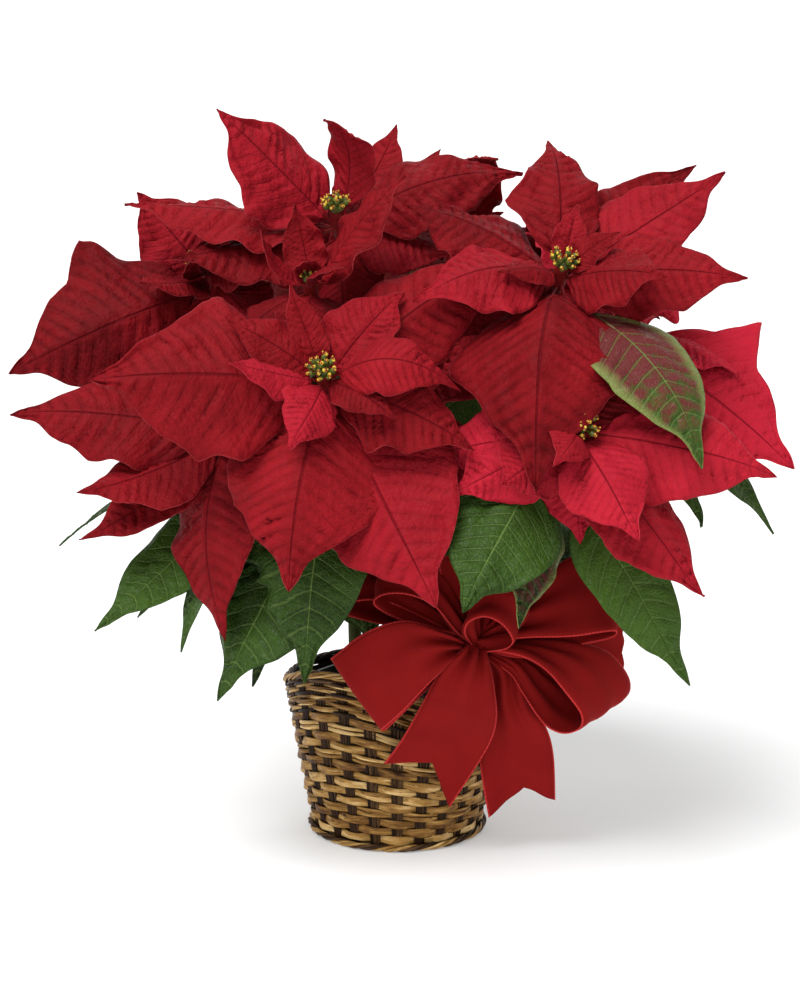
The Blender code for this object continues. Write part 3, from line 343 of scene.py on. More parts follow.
def curve_at(shape, s):
    """Points, headings and upward directions of a blade's midrib at shares s."""
    root, crown, tip, side = (np.array(shape[key]) for key in ("root", "crown", "tip", "side"))
    s = np.asarray(s)[:, None]
    middle = root * (1 - s) ** 2 + crown * 2 * s * (1 - s) + tip * s * s
    heading = (crown - root) * (1 - s) + (tip - crown) * s
    heading /= np.linalg.norm(heading, axis=1)[:, None]
    return middle, heading, np.cross(np.broadcast_to(side, heading.shape), heading)


def waves(s, count, rng, low, high):
    """An uneven line: a few sines of unlike lengths along s, about 1 high."""
    total = np.zeros_like(s)
    for _ in range(count):
        total += np.sin(2 * np.pi * (rng.uniform(low, high) * s + rng.random()))
    return total / math.sqrt(count)


def corners_out(s, count, rng):
    """A few blunt corners that jut from a margin, the largest 1 high."""
    total = np.zeros_like(s)
    for _ in range(count):
        place, reach = rng.uniform(0.30, 0.74), rng.uniform(0.06, 0.13)
        total = np.maximum(total, rng.uniform(0.3, 1.0) * np.maximum(0, 1 - np.abs(s - place) / reach))
    return total


def each_side(t, line, *given):
    """A line drawn once for the left of the midrib and once for the right."""
    left, right = line(*given), line(*given)
    return np.where(t < 0, left, right)


def make_blade(shape, grid, kind, rng):
    """One blade in the solid's own pose and outline: creased on its midrib, puckered between its veins, and with
    uneven edges. The side veins leave the midrib where vein is a whole number."""
    v, t = grid_shares(grid)
    spread = np.abs(t)
    petiole = kind["petiole"]
    start = petiole * 0.85
    s = start + (1 - start) * v
    side = np.array(shape["side"])
    middle, _, upward = curve_at(shape, s)
    length = (shape["tip"] - shape["root"]).length
    size = min(1.0, shape["half_width"] / FULL_HALF_WIDTH)
    inside = np.sin(np.pi * np.clip(v, 0, 1)) ** 0.5

    half = np.maximum(LEAST_HALF_WIDTH * (1 - v) ** 0.5, shape["half_width"] * kind["broad"] * outline(s, petiole))
    corner_at, corner_reach = 0.46, 0.14
    corner = np.where(t < 0, shape["left"], shape["right"])
    half *= 1 + corner * np.maximum(0, 1 - np.abs(s - corner_at) / corner_reach)
    scallop = each_side(t, waves, s, 3, rng, 2.0, 5.0)
    tooth = each_side(t, waves, s, 2, rng, 8.0, 13.0)
    jut = each_side(t, corners_out, s, 2, rng)
    half *= 1 + (kind["scallop"] * scallop + kind["teeth"] * tooth + kind["corner"] * jut) * inside
    point_from, point_waist = 0.78, 0.34
    half *= 1 - point_waist * np.sin(np.pi * np.clip((s - point_from) / (1 - point_from), 0, 1)) ** 2

    wide = half * spread / length
    drift = each_side(t, waves, s, 2, rng, 1.0, 3.0)
    vein = ((s - petiole) / (1 - petiole) - kind["rake"] * wide - kind["bow"] * wide * spread) * kind["veins"]
    vein = vein + 0.25 * drift * spread
    if kind["spines"]:
        saw = np.mod(vein * 0.5, 1.0)
        half *= 1 + kind["spines"] * saw**3 * (t > 0) * inside

    height = half * (shape["cup"] + kind["crease"]) * (np.sqrt(t * t + 0.0008) - 0.028)
    edge_wave = each_side(t, waves, s, 3, rng, 1.5, 4.5)
    height = height + kind["wave"] * np.minimum(half, 30 * MM) * spread**2.2 * edge_wave
    height = height + half * t * rng.uniform(-0.12, 0.12) * np.sin(np.pi * s)
    body = np.clip(half / (9 * MM), 0, 1) * np.minimum(1, spread * 4) * (1 - spread**8)
    strength = 0.6 + 0.6 * each_side(t, waves, s - 0.3 * spread, 2, rng, 1.5, 3.5)
    pucker = np.abs(np.sin(np.pi * vein)) ** 0.7 - 0.6
    height = height + kind["pucker"] * body * strength * pucker * (0.45 + 0.55 * size)
    cross = np.sin(2 * np.pi * (2.3 * vein + 1.4 * spread + 0.5 * waves(s, 2, rng, 2.0, 6.0)))
    height = height + 0.26 * kind["pucker"] * body * strength * cross * np.sin(np.pi * np.clip(spread, 0, 1))
    lump_height, groove_depth, groove_width = 1.5 * MM, 0.8 * MM, 1.0 * MM
    lumps = waves(s + 0.55 * t, 2, rng, 1.5, 3.0) * waves(s - 0.5 * t, 2, rng, 1.0, 2.5)
    height = height + lump_height * size * lumps * np.minimum(1, spread * 2)
    height = height - groove_depth * np.exp(-((t * half / groove_width) ** 2)) * np.clip(half / (8 * MM), 0, 1)
    tip_share = np.clip((s - 0.7) / 0.3, 0, 1)
    sag = rng.uniform(-0.010, 0.030) * length * tip_share**2
    hook = rng.uniform(-0.022, 0.022) * length * tip_share**3
    place = middle + side * (half * t + hook)[:, None] + upward * (height - sag)[:, None]

    mesh = grid.copy()
    mesh.vertices.foreach_set("co", place.astype(np.float32).ravel())
    corners = np.empty(len(mesh.loops), np.int32)
    mesh.loops.foreach_get("vertex_index", corners)
    uv = np.stack([t * 0.5 + 0.5, s], axis=1)[corners]
    mesh.uv_layers[0].data.foreach_set("uv", uv.astype(np.float32).ravel())
    tone = np.full(len(mesh.vertices), kind["tint"] + rng.uniform(-0.25, 0.25))
    flush = np.full(len(mesh.vertices), kind["flush"])
    # relief is the blade's pucker between its veins; the finishes paint shade with it, darker in the vein valleys.
    for name, values in (("tint", tone), ("flush", flush), ("relief", pucker * body), ("vein", vein)):
        mesh.attributes.new(name, "FLOAT", "POINT").data.foreach_set("value", values.astype(np.float32))
    mesh.shade_smooth()
    return placed("blade", mesh)


def mesh_of(name, points, faces, uvs=()):
    """A smooth mesh, with its own map where uvs are given."""
    mesh = bpy.data.meshes.new(name)
    mesh.from_pydata(points, [], faces)
    if uvs:
        mesh.uv_layers.new(name="UVMap").data.foreach_set("uv", np.array(uvs, np.float32).ravel())
    mesh.shade_smooth()
    return mesh


def tube_mesh(path, radii, sides):
    """A closed round stem through the points of path."""
    points, faces = [], []
    heading = (path[1] - path[0]).normalized()
    across = heading.orthogonal().normalized()
    for i, centre in enumerate(path):
        turned = (path[min(i + 1, len(path) - 1)] - path[max(i - 1, 0)]).normalized()
        across.rotate(heading.rotation_difference(turned))
        heading = turned
        other = heading.cross(across)
        for k in range(sides):
            angle = 2 * math.pi * k / sides
            points.append(centre + (across * math.cos(angle) + other * math.sin(angle)) * radii[i])
    for i in range(len(path) - 1):
        for k in range(sides):
            a, b = i * sides + k, i * sides + (k + 1) % sides
            faces.append((a, b, b + sides, a + sides))
    faces.append(tuple(reversed(range(sides))))
    faces.append(tuple(range(len(points) - sides, len(points))))
    return mesh_of("stem", points, faces)


def make_stalk(shape, petiole, radius):
    """The round stalk of a bract or leaf, that runs into its midrib."""
    spans = 6
    middle, _, upward = curve_at(shape, np.linspace(0, petiole * 1.5, spans + 1))
    path = [Vector(m - u * radius * 0.55 * k / spans) for k, (m, u) in enumerate(zip(middle, upward))]
    radii = [radius * (1.15 - 0.55 * k / spans) for k in range(spans + 1)]
    return placed("stalk", tube_mesh(path, radii, 8))


def finished(piece, *materials):
    """The same piece, with these materials."""
    for material in materials:
        piece.data.materials.append(material)
    return piece


def joined(name, pieces):
    select_only(*pieces)
    bpy.ops.object.join()
    whole = bpy.context.object
    whole.name = whole.data.name = name
    return whole


def walled(sheet, thickness, offset, underside):
    """Gives a sheet its thickness; its underside takes the finish so many places after its own."""
    wall = sheet.modifiers.new("thickness", "SOLIDIFY")
    wall.thickness, wall.offset, wall.material_offset = thickness, offset, underside
    select_only(sheet)
    bpy.ops.object.modifier_apply(modifier=wall.name)
    return sheet


def thickened(whole):
    """Gives blades their thickness, with the underside in the second finish."""
    select_only(whole)
    bpy.ops.object.mode_set(mode="EDIT")
    bpy.ops.mesh.select_all(action="SELECT")
    bpy.ops.mesh.remove_doubles(threshold=WELD_DISTANCE)
    bpy.ops.object.mode_set(mode="OBJECT")
    return walled(whole, BLADE_THICKNESS, -1, 1)


class Wire:
    """A socket's value in a shader: arithmetic on it adds Math nodes."""

    def __init__(self, tree, socket):
        self.tree, self.socket = tree, socket

    def math(self, operation, *values):
        node = self.tree.nodes.new("ShaderNodeMath")
        node.operation = operation
        for socket, value in zip(node.inputs, values):
            feed(self.tree, socket, value)
        return Wire(self.tree, node.outputs[0])

    def __add__(self, other):
        return self.math("ADD", self, other)

    __radd__ = __add__

    def __sub__(self, other):
        return self.math("SUBTRACT", self, other)

    def __rsub__(self, other):
        return self.math("SUBTRACT", other, self)

    def __mul__(self, other):
        return self.math("MULTIPLY", self, other)

    __rmul__ = __mul__

    def __truediv__(self, other):
        return self.math("DIVIDE", self, other)

    def __rtruediv__(self, other):
        return self.math("DIVIDE", other, self)

    def __abs__(self):
        return self.math("ABSOLUTE", self)

    def cos(self):
        return self.math("COSINE", self)

    def clamped(self):
        return self.math("MINIMUM", self.math("MAXIMUM", self, 0.0), 1.0)

    def over(self, low, high):
        """0 below low, 1 above high, even between them."""
        return ((self - low) / (high - low)).clamped()


def feed(tree, socket, value):
    if isinstance(value, Wire):
        tree.links.new(value.socket, socket)
    elif isinstance(value, tuple) and len(value) == 3 and socket.type == "RGBA":
        socket.default_value = (*value, 1)
    else:
        socket.default_value = value


class Finish:
    """A named material: what is the same all over is set on its shader, and what varies is made of nodes."""

    def __init__(self, name, **constants):
        self.material = bpy.data.materials.new(name)
        self.material.use_nodes = True
        self.tree = self.material.node_tree
        self.shader = self.tree.nodes["Principled BSDF"]
        self.give(**constants)

    def node(self, kind, settings, sockets, output=0):
        made = self.tree.nodes.new(kind)
        for key, value in settings.items():
            if key == "stops":
                while len(made.color_ramp.elements) < len(value):
                    made.color_ramp.elements.new(0.5)
                for element, (place, colour) in zip(made.color_ramp.elements, value):
                    element.position, element.color = place, (*colour, 1)
            else:
                setattr(made, key, value)
        for key, value in sockets.items():
            feed(self.tree, made.inputs[key], value)
        return Wire(self.tree, made.outputs[output])

    def mix(self, share, a, b):
        return self.node("ShaderNodeMix", {"data_type": "RGBA"}, {0: share, 6: a, 7: b}, 2)

    def place(self):
        return self.node("ShaderNodeTexCoord", {}, {}, "Object")

    def uv(self):
        """The piece's own map: across and along."""
        split = self.node("ShaderNodeTexCoord", {}, {}, "UV")
        return [self.node("ShaderNodeSeparateXYZ", {}, {0: split}, k) for k in (0, 1)]

    def noise(self, vector, scale, detail=2.0, roughness=0.5):
        sockets = {"Vector": vector, "Scale": scale, "Detail": detail, "Roughness": roughness}
        return self.node("ShaderNodeTexNoise", {}, sockets)

    def give(self, **sockets):
        """Sets the shader's sockets, each to a value or to what a wire carries."""
        for key, value in sockets.items():
            feed(self.tree, self.shader.inputs[key.replace("_", " ").title().replace("Ior", "IOR")], value)

    def bump(self, height, distance, strength):
        return self.node("ShaderNodeBump", {}, {"Height": height, "Distance": distance, "Strength": strength})


def blade_masks(finish):
    """From a blade's own map: distance from the midrib, and masks of the side veins and of the midrib. Wrinkles run
    along the side veins, three or so between each two."""
    across, along = finish.uv()
    t = abs(across * 2 - 1)
    vein, tint, relief, flush = (
        finish.node("ShaderNodeAttribute", {"attribute_name": name}, {}, "Fac")
        for name in ("vein", "tint", "relief", "flush")
    )
    side_vein = (vein * (2 * math.pi)).cos().over(0.86, 0.995) * (1 - t.over(0.7, 1.0))
    midrib = 1 - t.over(0.006, 0.024)
    run = finish.node("ShaderNodeCombineXYZ", {}, {0: vein * 2.4, 1: across * 5.0, 2: tint * 9.0})
    wrinkle = finish.noise(run, 1.0, 3.0, 0.55)
    return t, tint, relief, flush, side_vein, midrib, wrinkle


def bract_finish(name, deep, bright, pink, vein, rough):
    made = Finish(name, roughness=rough, sheen_weight=0.04, sheen_roughness=0.35, sheen_tint=(1.0, 0.12, 0.22),
                  specular_ior_level=0.04)
    t, tint, relief, flush, side_vein, midrib, wrinkle = blade_masks(made)
    place = made.place()
    cloud = made.noise(place, 24.0, 3.0)
    mottle = made.noise(place, 230.0, 4.0, 0.65)
    # relief here is painted shade: it lightens the raised pillows between the veins and darkens the vein valleys.
    share = (cloud * 0.9 + tint * 0.40 + mottle * 0.28 + relief * 0.30 + wrinkle * 0.14 - 0.39).clamped()
    colour = made.mix(share, deep, bright)
    colour = made.mix((tint - 0.55).clamped() * 0.9, colour, pink)
    # Painted shade on the upper face: the midrib groove and the side-vein valleys take its near-black vein colour.
    # On the underside the paler vein colour is the veins' own.
    colour = made.mix((side_vein * 0.07 + midrib * 0.50).clamped(), colour, vein)
    # Painted highlight: a thin pale line along the margin, as if its edge caught the light.
    colour = made.mix(t.over(0.980, 0.998) * 0.35, colour, (0.50, 0.06, 0.07))
    crumple = made.noise(place, 75.0, 3.0, 0.6)
    height = side_vein * -0.12 + midrib * -0.6 + mottle * 0.25 + wrinkle * 0.8 + crumple * 3.0
    made.give(base_color=colour, normal=made.bump(height, 0.0016, 0.9))
    return made.material


BRACT = {
    "petiole": BRACT_PETIOLE, "veins": BRACT_VEINS, "rake": 0.42, "bow": 0.30, "crease": -0.28, "pucker": 3.0 * MM,
    "scallop": 0.040, "teeth": 0.008, "corner": 0.13, "spines": 0.0, "wave": 0.12, "tint": 0.45, "flush": 0.0,
    "broad": 1.0,
}
# How light the bracts are where they differ from the usual, of two heads and some by their place in the rows: partly
# their own colour, partly painted light and shade, lighter for bracts in the light and darker for bracts in shade.
HEAD_TINTS_AND_PAINTED_LIGHT = {"far_right": 1.5, "lower_right": 0.95}
ROW_TINTS_AND_PAINTED_LIGHT = {
    0: 0.35, 1: 0.85, 2: -0.1, 3: 0.6, 4: 0.6, 5: -0.05, 8: 1.25, 12: 0.7, 13: 0.0, 14: 0.05, 16: -0.1,
    18: 0.2, 24: -0.05, 25: 0.95, 31: -0.2, 37: 0.95, 38: 0.85, 39: 0.0, 41: 0.1, 51: 0.0, 59: 0.0, 60: 0.1,
    61: 0.1, 70: 1.2,
}
BESIDE_FLUSHED_LEAF = 2
# The upper face's near-black vein colour is painted shade for the midrib groove and the vein valleys; the
# underside's paler one is its own colour.
BRACT_TOP = bract_finish("bract_upper_face", (0.090, 0.0032, 0.0045), (0.335, 0.0105, 0.0170), (0.60, 0.020, 0.046),
                         (0.060, 0.001, 0.003), 0.52)
BRACT_UNDER = bract_finish("bract_underside", (0.22, 0.010, 0.016), (0.36, 0.018, 0.028), (0.42, 0.02, 0.04),
                           (0.40, 0.05, 0.06), 0.6)
STALK_RED = Finish("bract_stalk", base_color=(0.16, 0.006, 0.007), roughness=0.5, specular_ior_level=0.1).material

bract_rng = random.Random(21)
bracts_of = {name: [] for name in HEADS}
stalks_of = {name: [] for name in HEADS}
trees = {name: points_of(name + "_bracts") for name in HEADS}
for place, (name, *row) in enumerate((*FRONT_BRACTS, *ring_rows(), *INNER_BRACTS)):
    natural = bract_shape(HEADS[name], *row)
    shape = settled(trees[name], natural)
    if shape is None and (name, *row) in (*FRONT_BRACTS, *INNER_BRACTS):
        shape = unsettled(natural)
    if shape is None:
        continue
    grid = SMALL_GRID if shape["half_width"] < SMALL_HALF_WIDTH else LARGE_GRID
    # The tint is partly painted light and shade, from the tables of tints above.
    kind = dict(BRACT, tint=ROW_TINTS_AND_PAINTED_LIGHT.get(place, HEAD_TINTS_AND_PAINTED_LIGHT.get(name, BRACT["tint"])))
    if place == BESIDE_FLUSHED_LEAF:
        kind.update(corner=0.02, wave=0.07)
    bracts_of[name].append(make_blade(shape, grid, kind, bract_rng))
    stalks_of[name].append(make_stalk(shape, BRACT_PETIOLE, PETIOLE_RADIUS * 0.9))
for name, head in HEADS.items():
    bracts = finished(thickened(joined(name + "_bract_blades", bracts_of[name])), BRACT_TOP, BRACT_UNDER)
    foot = head["at"] - head["axis"] * CORE_LENGTH
    core = [foot + head["axis"] * CORE_LENGTH * k / 6 for k in range(7)]
    radii = [CORE_RADIUS * share for share in (0.92, 1.0, 1.06, 1.1, 1.06, 0.98, 0.8)]
    stem_tip = placed("stem_tip", tube_mesh(core, radii, 16))
    stalks = finished(joined(name + "_bract_stalks", [stem_tip, *stalks_of[name]]), STALK_RED)
    for piece in (bracts, stalks):
        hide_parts(name + "_bracts")
        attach(piece, "root")

# The green leaves and the stems. Each plant is one trunk, woody at its foot, that forks into a soft green branch for
# each head; leaves with pale raised veins grow from the branches on reddish stalks.
LEAF_PETIOLE = 0.22
LEAF_VEINS = 11
LEAF = {
    "petiole": LEAF_PETIOLE, "veins": LEAF_VEINS, "rake": 0.50, "bow": 0.35, "crease": -0.10, "pucker": 2.5 * MM,
    "scallop": 0.018, "teeth": 0.010, "corner": 0.03, "spines": 0.0, "wave": 0.07, "tint": 0.5, "flush": 0.0,
    "broad": 1.12,
}
# What sets some leaves apart, by their place in the rows: two flushed with crimson, the pale one, the spiny one, two
# dark ones and two broad ones.
ODD_LEAVES = {
    0: {"flush": 1.0, "tint": 0.9}, 2: {"tint": 1.0}, 3: {"flush": 1.0, "tint": -0.5},
    4: {"spines": 0.34, "tint": 0.1}, 5: {"broad": 1.32}, 6: {"tint": 0.1}, 7: {"broad": 1.2},
}
FLUSHED_LEAF = 0
BOWED_FORWARD = mm(3, -18, 4)
TRUNK_RADIUS = 6.0 * MM
BRANCH_RADIUS = 3.6 * MM
SOIL_TOP = 94 * MM
ROOTING_DEPTH = 42 * MM
SEAT_GAP = 0.3 * MM
# Head whose branch bears it, where on the branch, tip (mm), half-width (mm), arch, roll, cup, corners.
FRONT_LEAVES = (
    ("upper_right", 0.97, (197, -172, 299), 31, 0.14, 0, -0.1),
    ("lower_right", 0.86, (40, -190, 210), 34, 0.1, 0, -0.08),
    ("lower_right", 0.8, (190, -142, 144), 25, 0.1, 20, 0.06, 0.2),
    ("lower_right", 0.74, (77, -172, 194), 21, 0.08, -30, 0.1, 0.2),
    ("centre_left", 0.72, (-60, -150, 150), 31, 0.14, 0, -0.06, 0.0, 0.5),
    ("centre_left", 0.8, (-138, -155, 155), 37, 0.12, 10, -0.06),
    ("centre_left", 0.6, (-96, -120, 137), 22, 0.1),
    ("lower_left", 0.86, (-202, -115, 178), 24, 0.1, -14, 0.06),
    ("lower_left", 0.8, (-167, -125, 188), 21, 0.1, 18, 0.1),
    ("lower_left", 0.74, (-230, -60, 220), 17, 0.12, 30, 0.1),
    ("centre_left", 0.56, (-66, -66, 236), 26, 0.12),
    ("lower_right", 0.6, (16, -70, 208), 28, 0.12),
    ("far_right", 0.8, (206, -92, 242), 27, 0.12),
    ("far_right", 0.84, (260, -40, 224), 18, 0.12, 20, 0.1),
    ("far_right", 0.6, (155, -58, 144), 22, 0.12, 30),
    ("far_left", 0.8, (-222, -14, 328), 24, 0.16, -40),
)
INNER_LEAVES = (
    ("lower_left", 0.7, (-176, -78, 174), 24, 0.06, 8),
    ("centre_left", 0.5, (-18, -62, 150), 25, 0.12),
    ("lower_left", 0.66, (-124, -98, 196), 28, 0.12),
    ("lower_left", 0.72, (-104, -92, 214), 26, 0.12),
    ("lower_right", 0.6, (112, -74, 190), 26, 0.12),
)
# Branch, how many, first and last place on it, length and half-width (mm), droop, first azimuth.
HIDDEN_LEAVES = (
    ("rear_left", 4, 0.50, 0.86, 112, 28, -30, 100),
    ("rear", 4, 0.50, 0.86, 114, 29, -30, 60),
    ("rear_right", 4, 0.50, 0.86, 112, 28, -30, 10),
    ("far_left", 2, 0.55, 0.75, 108, 27, -34, 170),
    ("far_right", 2, 0.5, 0.7, 108, 27, -34, 20),
)


def bezier(points, s):
    a, b, c, d = points
    return a * (1 - s) ** 3 + b * 3 * s * (1 - s) ** 2 + c * 3 * s * s * (1 - s) + d * s**3


def branch_curve(head):
    fork = PLANTS[head["plant"]]["fork"]
    foot = head["at"] - head["axis"] * (CORE_LENGTH + SEAT_GAP)
    rise = (foot - fork).length
    return fork, fork + UP * rise * 0.30, foot - head["axis"] * rise * 0.34, foot


def leaf_shape(head, place, tip, half_width, arch, roll=0, cup=0.0, left=0.0, right=0.0):
    node = bezier(branch_curve(head), place)
    root = node + (mm(*tip) - node).normalized() * 1.2 * MM
    axis = (UP + head["axis"] * 0.6).normalized()
    return natural_shape(root, axis, tip, half_width, arch, roll, cup, left, right)


def rear_leaves():
    rows = []
    rng = random.Random(11)
    for name, count, first, last, length, half_width, droop, azimuth in HIDDEN_LEAVES:
        curve = branch_curve(HEADS[name])
        for k in range(count):
            place = first + (last - first) * k / max(1, count - 1)
            turn = math.radians(azimuth + 100 * k)
            slope = math.radians(droop + rng.uniform(-10, 10))
            out = Vector((math.cos(turn) * math.cos(slope), math.sin(turn) * math.cos(slope), math.sin(slope)))
            tip = bezier(curve, place) + out * length * MM * rng.uniform(0.9, 1.1)
            rows.append((name, place, tuple(tip / MM), half_width * rng.uniform(0.9, 1.1), 0.12,
                         rng.uniform(-10, 10), -0.05, 0.0, 0.15 * (k % 2)))
    return rows


def leaf_finish(name, deep, bright, vein, rough):
    made = Finish(name, roughness=rough, specular_ior_level=0.15)
    t, tint, relief, flush, side_vein, midrib, wrinkle = blade_masks(made)
    place = made.place()
    cloud = made.noise(place, 30.0, 3.0)
    mottle = made.noise(place, 300.0, 3.0, 0.6)
    net = made.node("ShaderNodeTexVoronoi", {"feature": "DISTANCE_TO_EDGE"}, {"Vector": place, "Scale": 330.0})
    cell = net.over(0.0, 0.16)
    # relief here is painted shade: raised pillows between the veins lighter, the vein valleys darker.
    share = (cloud * 0.8 + tint * 0.6 + mottle * 0.25 + relief * 0.3 - 0.45).clamped()
    colour = made.mix(share, deep, bright)
    colour = made.mix((1 - cell) * 0.16, colour, vein)
    along = made.uv()[1]
    speckle = made.noise(place, 150.0, 4.0, 0.7)
    blush = (speckle * 1.0 + relief * 0.25 - along * 0.9 + 0.38).over(0.10, 0.40) * (1 - t.over(0.74, 0.98))
    colour = made.mix((blush * flush * 0.85).clamped(), colour, (0.145, 0.010, 0.022))
    colour = made.mix(((flush - 0.5).clamped() * t.over(0.72, 1.0) * 1.2).clamped(), colour, (0.30, 0.33, 0.10))
    colour = made.mix((side_vein * 0.36 + midrib * 0.8).clamped(), colour, vein)
    height = side_vein * -0.4 + midrib * -0.5 + cell * 0.25 + mottle * 0.05 + wrinkle * 0.9
    made.give(base_color=colour, normal=made.bump(height, 0.0013, 0.9))
    return made.material


LEAF_TOP = leaf_finish("leaf_upper_face", (0.007, 0.023, 0.002), (0.056, 0.120, 0.012), (0.14, 0.22, 0.05), 0.40)
LEAF_UNDER = leaf_finish("leaf_underside", (0.07, 0.14, 0.06), (0.12, 0.21, 0.09), (0.2, 0.3, 0.14), 0.6)


def stem_finish():
    made = Finish("green_stem", roughness=0.6, specular_ior_level=0.2)
    place = made.place()
    height = made.node("ShaderNodeSeparateXYZ", {}, {0: place}, 2)
    streak = made.noise(place, 190.0, 4.0, 0.6)
    colour = made.mix((height * 7 - 0.75 + streak * 0.5).clamped(), (0.085, 0.055, 0.026), (0.050, 0.105, 0.022))
    made.give(base_color=colour, normal=made.bump(streak, 0.0006, 0.6))
    return made.material


STEM_GREEN = stem_finish()
LEAF_STALK = Finish("leaf_stalk", base_color=(0.17, 0.10, 0.035), roughness=0.5).material

leaf_rng = random.Random(33)
leaves_of = {name: [] for name in PLANTS}
leaf_stalks_of = {name: [] for name in PLANTS}
plant_trees = {name: points_of(name) for name in PLANTS}
for place, (name, *row) in enumerate((*FRONT_LEAVES, *rear_leaves(), *INNER_LEAVES)):
    plant = HEADS[name]["plant"]
    natural = leaf_shape(HEADS[name], *row)
    shape = settled(plant_trees[plant], natural)
    if shape is None and (name, *row) in INNER_LEAVES:
        shape = unsettled(natural)
    if shape is None:
        continue
    if place == FLUSHED_LEAF:
        shape["crown"] = shape["crown"] + BOWED_FORWARD
    kind = dict(LEAF, **ODD_LEAVES.get(place, {}))
    leaves_of[plant].append(make_blade(shape, LARGE_GRID, kind, leaf_rng))
    leaf_stalks_of[plant].append(make_stalk(shape, LEAF_PETIOLE, PETIOLE_RADIUS * 1.1))
for plant, at in PLANTS.items():
    foot = at["at"] + UP * (SOIL_TOP - ROOTING_DEPTH)
    fork = at["fork"]
    trunk = [foot, foot.lerp(fork, 0.5) + UP * 6 * MM, fork + UP * 6 * MM]
    tubes = [tube_mesh(trunk, (TRUNK_RADIUS, TRUNK_RADIUS * 0.92, TRUNK_RADIUS * 0.72), 18)]
    for head in HEADS.values():
        if head["plant"] == plant:
            curve = branch_curve(head)
            path = [bezier(curve, k / 20) for k in range(21)]
            tubes.append(tube_mesh(path, [BRANCH_RADIUS * (1.12 - 0.14 * k / 20) for k in range(21)], 14))
    stems = [finished(placed("stem", mesh), STEM_GREEN) for mesh in tubes]
    stems += [finished(stalk, LEAF_STALK) for stalk in leaf_stalks_of[plant]]
    stems = joined(plant + "_stems", stems)
    leaves = finished(thickened(joined(plant + "_leaves", leaves_of[plant])), LEAF_TOP, LEAF_UNDER)
    for piece in (leaves, stems):
        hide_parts(plant)
        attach(piece, "root")

# The cyathia, the true flowers in the middle of each head: tight green cups the size of a peppercorn on short
# stalks, each with a yellow lip at its side and a tuft of red stamens at its mouth.
def fleck_finish(name, low, high, rough):
    made = Finish(name, roughness=rough)
    fleck = made.noise(made.place(), 900.0, 2.0)
    made.give(base_color=made.mix(fleck.over(0.35, 0.65), low, high), normal=made.bump(fleck, 0.0003, 0.6))
    return made.material


CUP_GREEN = fleck_finish("flower_cup", (0.035, 0.060, 0.008), (0.16, 0.20, 0.025), 0.42)
LIP_YELLOW = fleck_finish("flower_lip", (0.55, 0.33, 0.02), (0.80, 0.62, 0.06), 0.3)
STAMEN_RED = fleck_finish("stamen", (0.20, 0.008, 0.005), (0.42, 0.02, 0.01), 0.5)


def ball(radius, segments, rings, stretch, at, finish):
    deselect()
    bpy.ops.mesh.primitive_uv_sphere_add(segments=segments, ring_count=rings, radius=radius)
    obj = bpy.context.object
    for vertex in obj.data.vertices:
        vertex.co = Vector((vertex.co.x, vertex.co.y, vertex.co.z * stretch)) + at
    obj.data.shade_smooth()
    return finished(obj, finish)


def flower_cup():
    """One cup, upright at the origin: its body, its stalk, its lip and its stamens."""
    body = ball(2.1 * MM, 10, 8, 1.45, Vector((0, 0, 0)), CUP_GREEN)
    lip = ball(1.45 * MM, 8, 6, 0.75, mm(1.2, 0, 2.9), LIP_YELLOW)
    parts = [body, lip]
    rng = random.Random(3)
    for k in range(6):
        angle = 2 * math.pi * k / 6 + rng.uniform(-0.3, 0.3)
        tuft = mm(1.1 * math.cos(angle), 1.1 * math.sin(angle), 3.6 + rng.uniform(-0.4, 0.9))
        parts.append(ball(0.55 * MM, 6, 4, 1.5, tuft, STAMEN_RED if k % 3 else LIP_YELLOW))
    return joined("cup", parts)


# How many cups in the ring, how far out and how high (mm).
CUP_RINGS = ((1, 0.0, 8.2), (5, 4.2, 7.2), (8, 7.6, 5.0))
pattern_cup = flower_cup()
cup_rng = random.Random(5)
for name, head in HEADS.items():
    axis, size = head["axis"], 0.6 if name == "young" else 1.0
    across = axis.orthogonal().normalized()
    seat = head["at"] + axis * SEAT_GAP
    pad_path = [seat, seat + axis * 2 * MM, seat + axis * 4 * MM]
    cups = [finished(placed("pad", tube_mesh(pad_path, (4.2 * MM, 4.0 * MM, 2.4 * MM), 12)), CUP_GREEN)]
    for count, spread, height in CUP_RINGS:
        for k in range(count):
            out = across.copy()
            out.rotate(Quaternion(axis, 2 * math.pi * (k + cup_rng.uniform(-0.2, 0.2)) / count + spread))
            top = seat + axis * (height + cup_rng.uniform(-1.0, 1.0)) * MM + out * spread * size * MM
            lean = (axis * 1.5 + out * spread / 8).normalized()
            turn = lean.to_track_quat("Z", "X")
            spin = Quaternion(UP, cup_rng.uniform(0, 6.28))
            cup = placed("cup", pattern_cup.data.copy())
            share = size * cup_rng.uniform(0.72, 1.0)
            for vertex in cup.data.vertices:
                vertex.co = top + turn @ (spin @ (vertex.co * share))
            start = seat + axis * MM + out * spread * 0.2 * MM
            stalk = placed("stalk", tube_mesh([start, start.lerp(top, 0.6), top], [0.9 * MM] * 3, 6))
            cups += [cup, finished(stalk, CUP_GREEN)]
    flowers = joined(name + "_flower_cups", cups)
    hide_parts(name + "_cyathia")
    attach(flowers, "root")
bpy.data.objects.remove(pattern_cup)

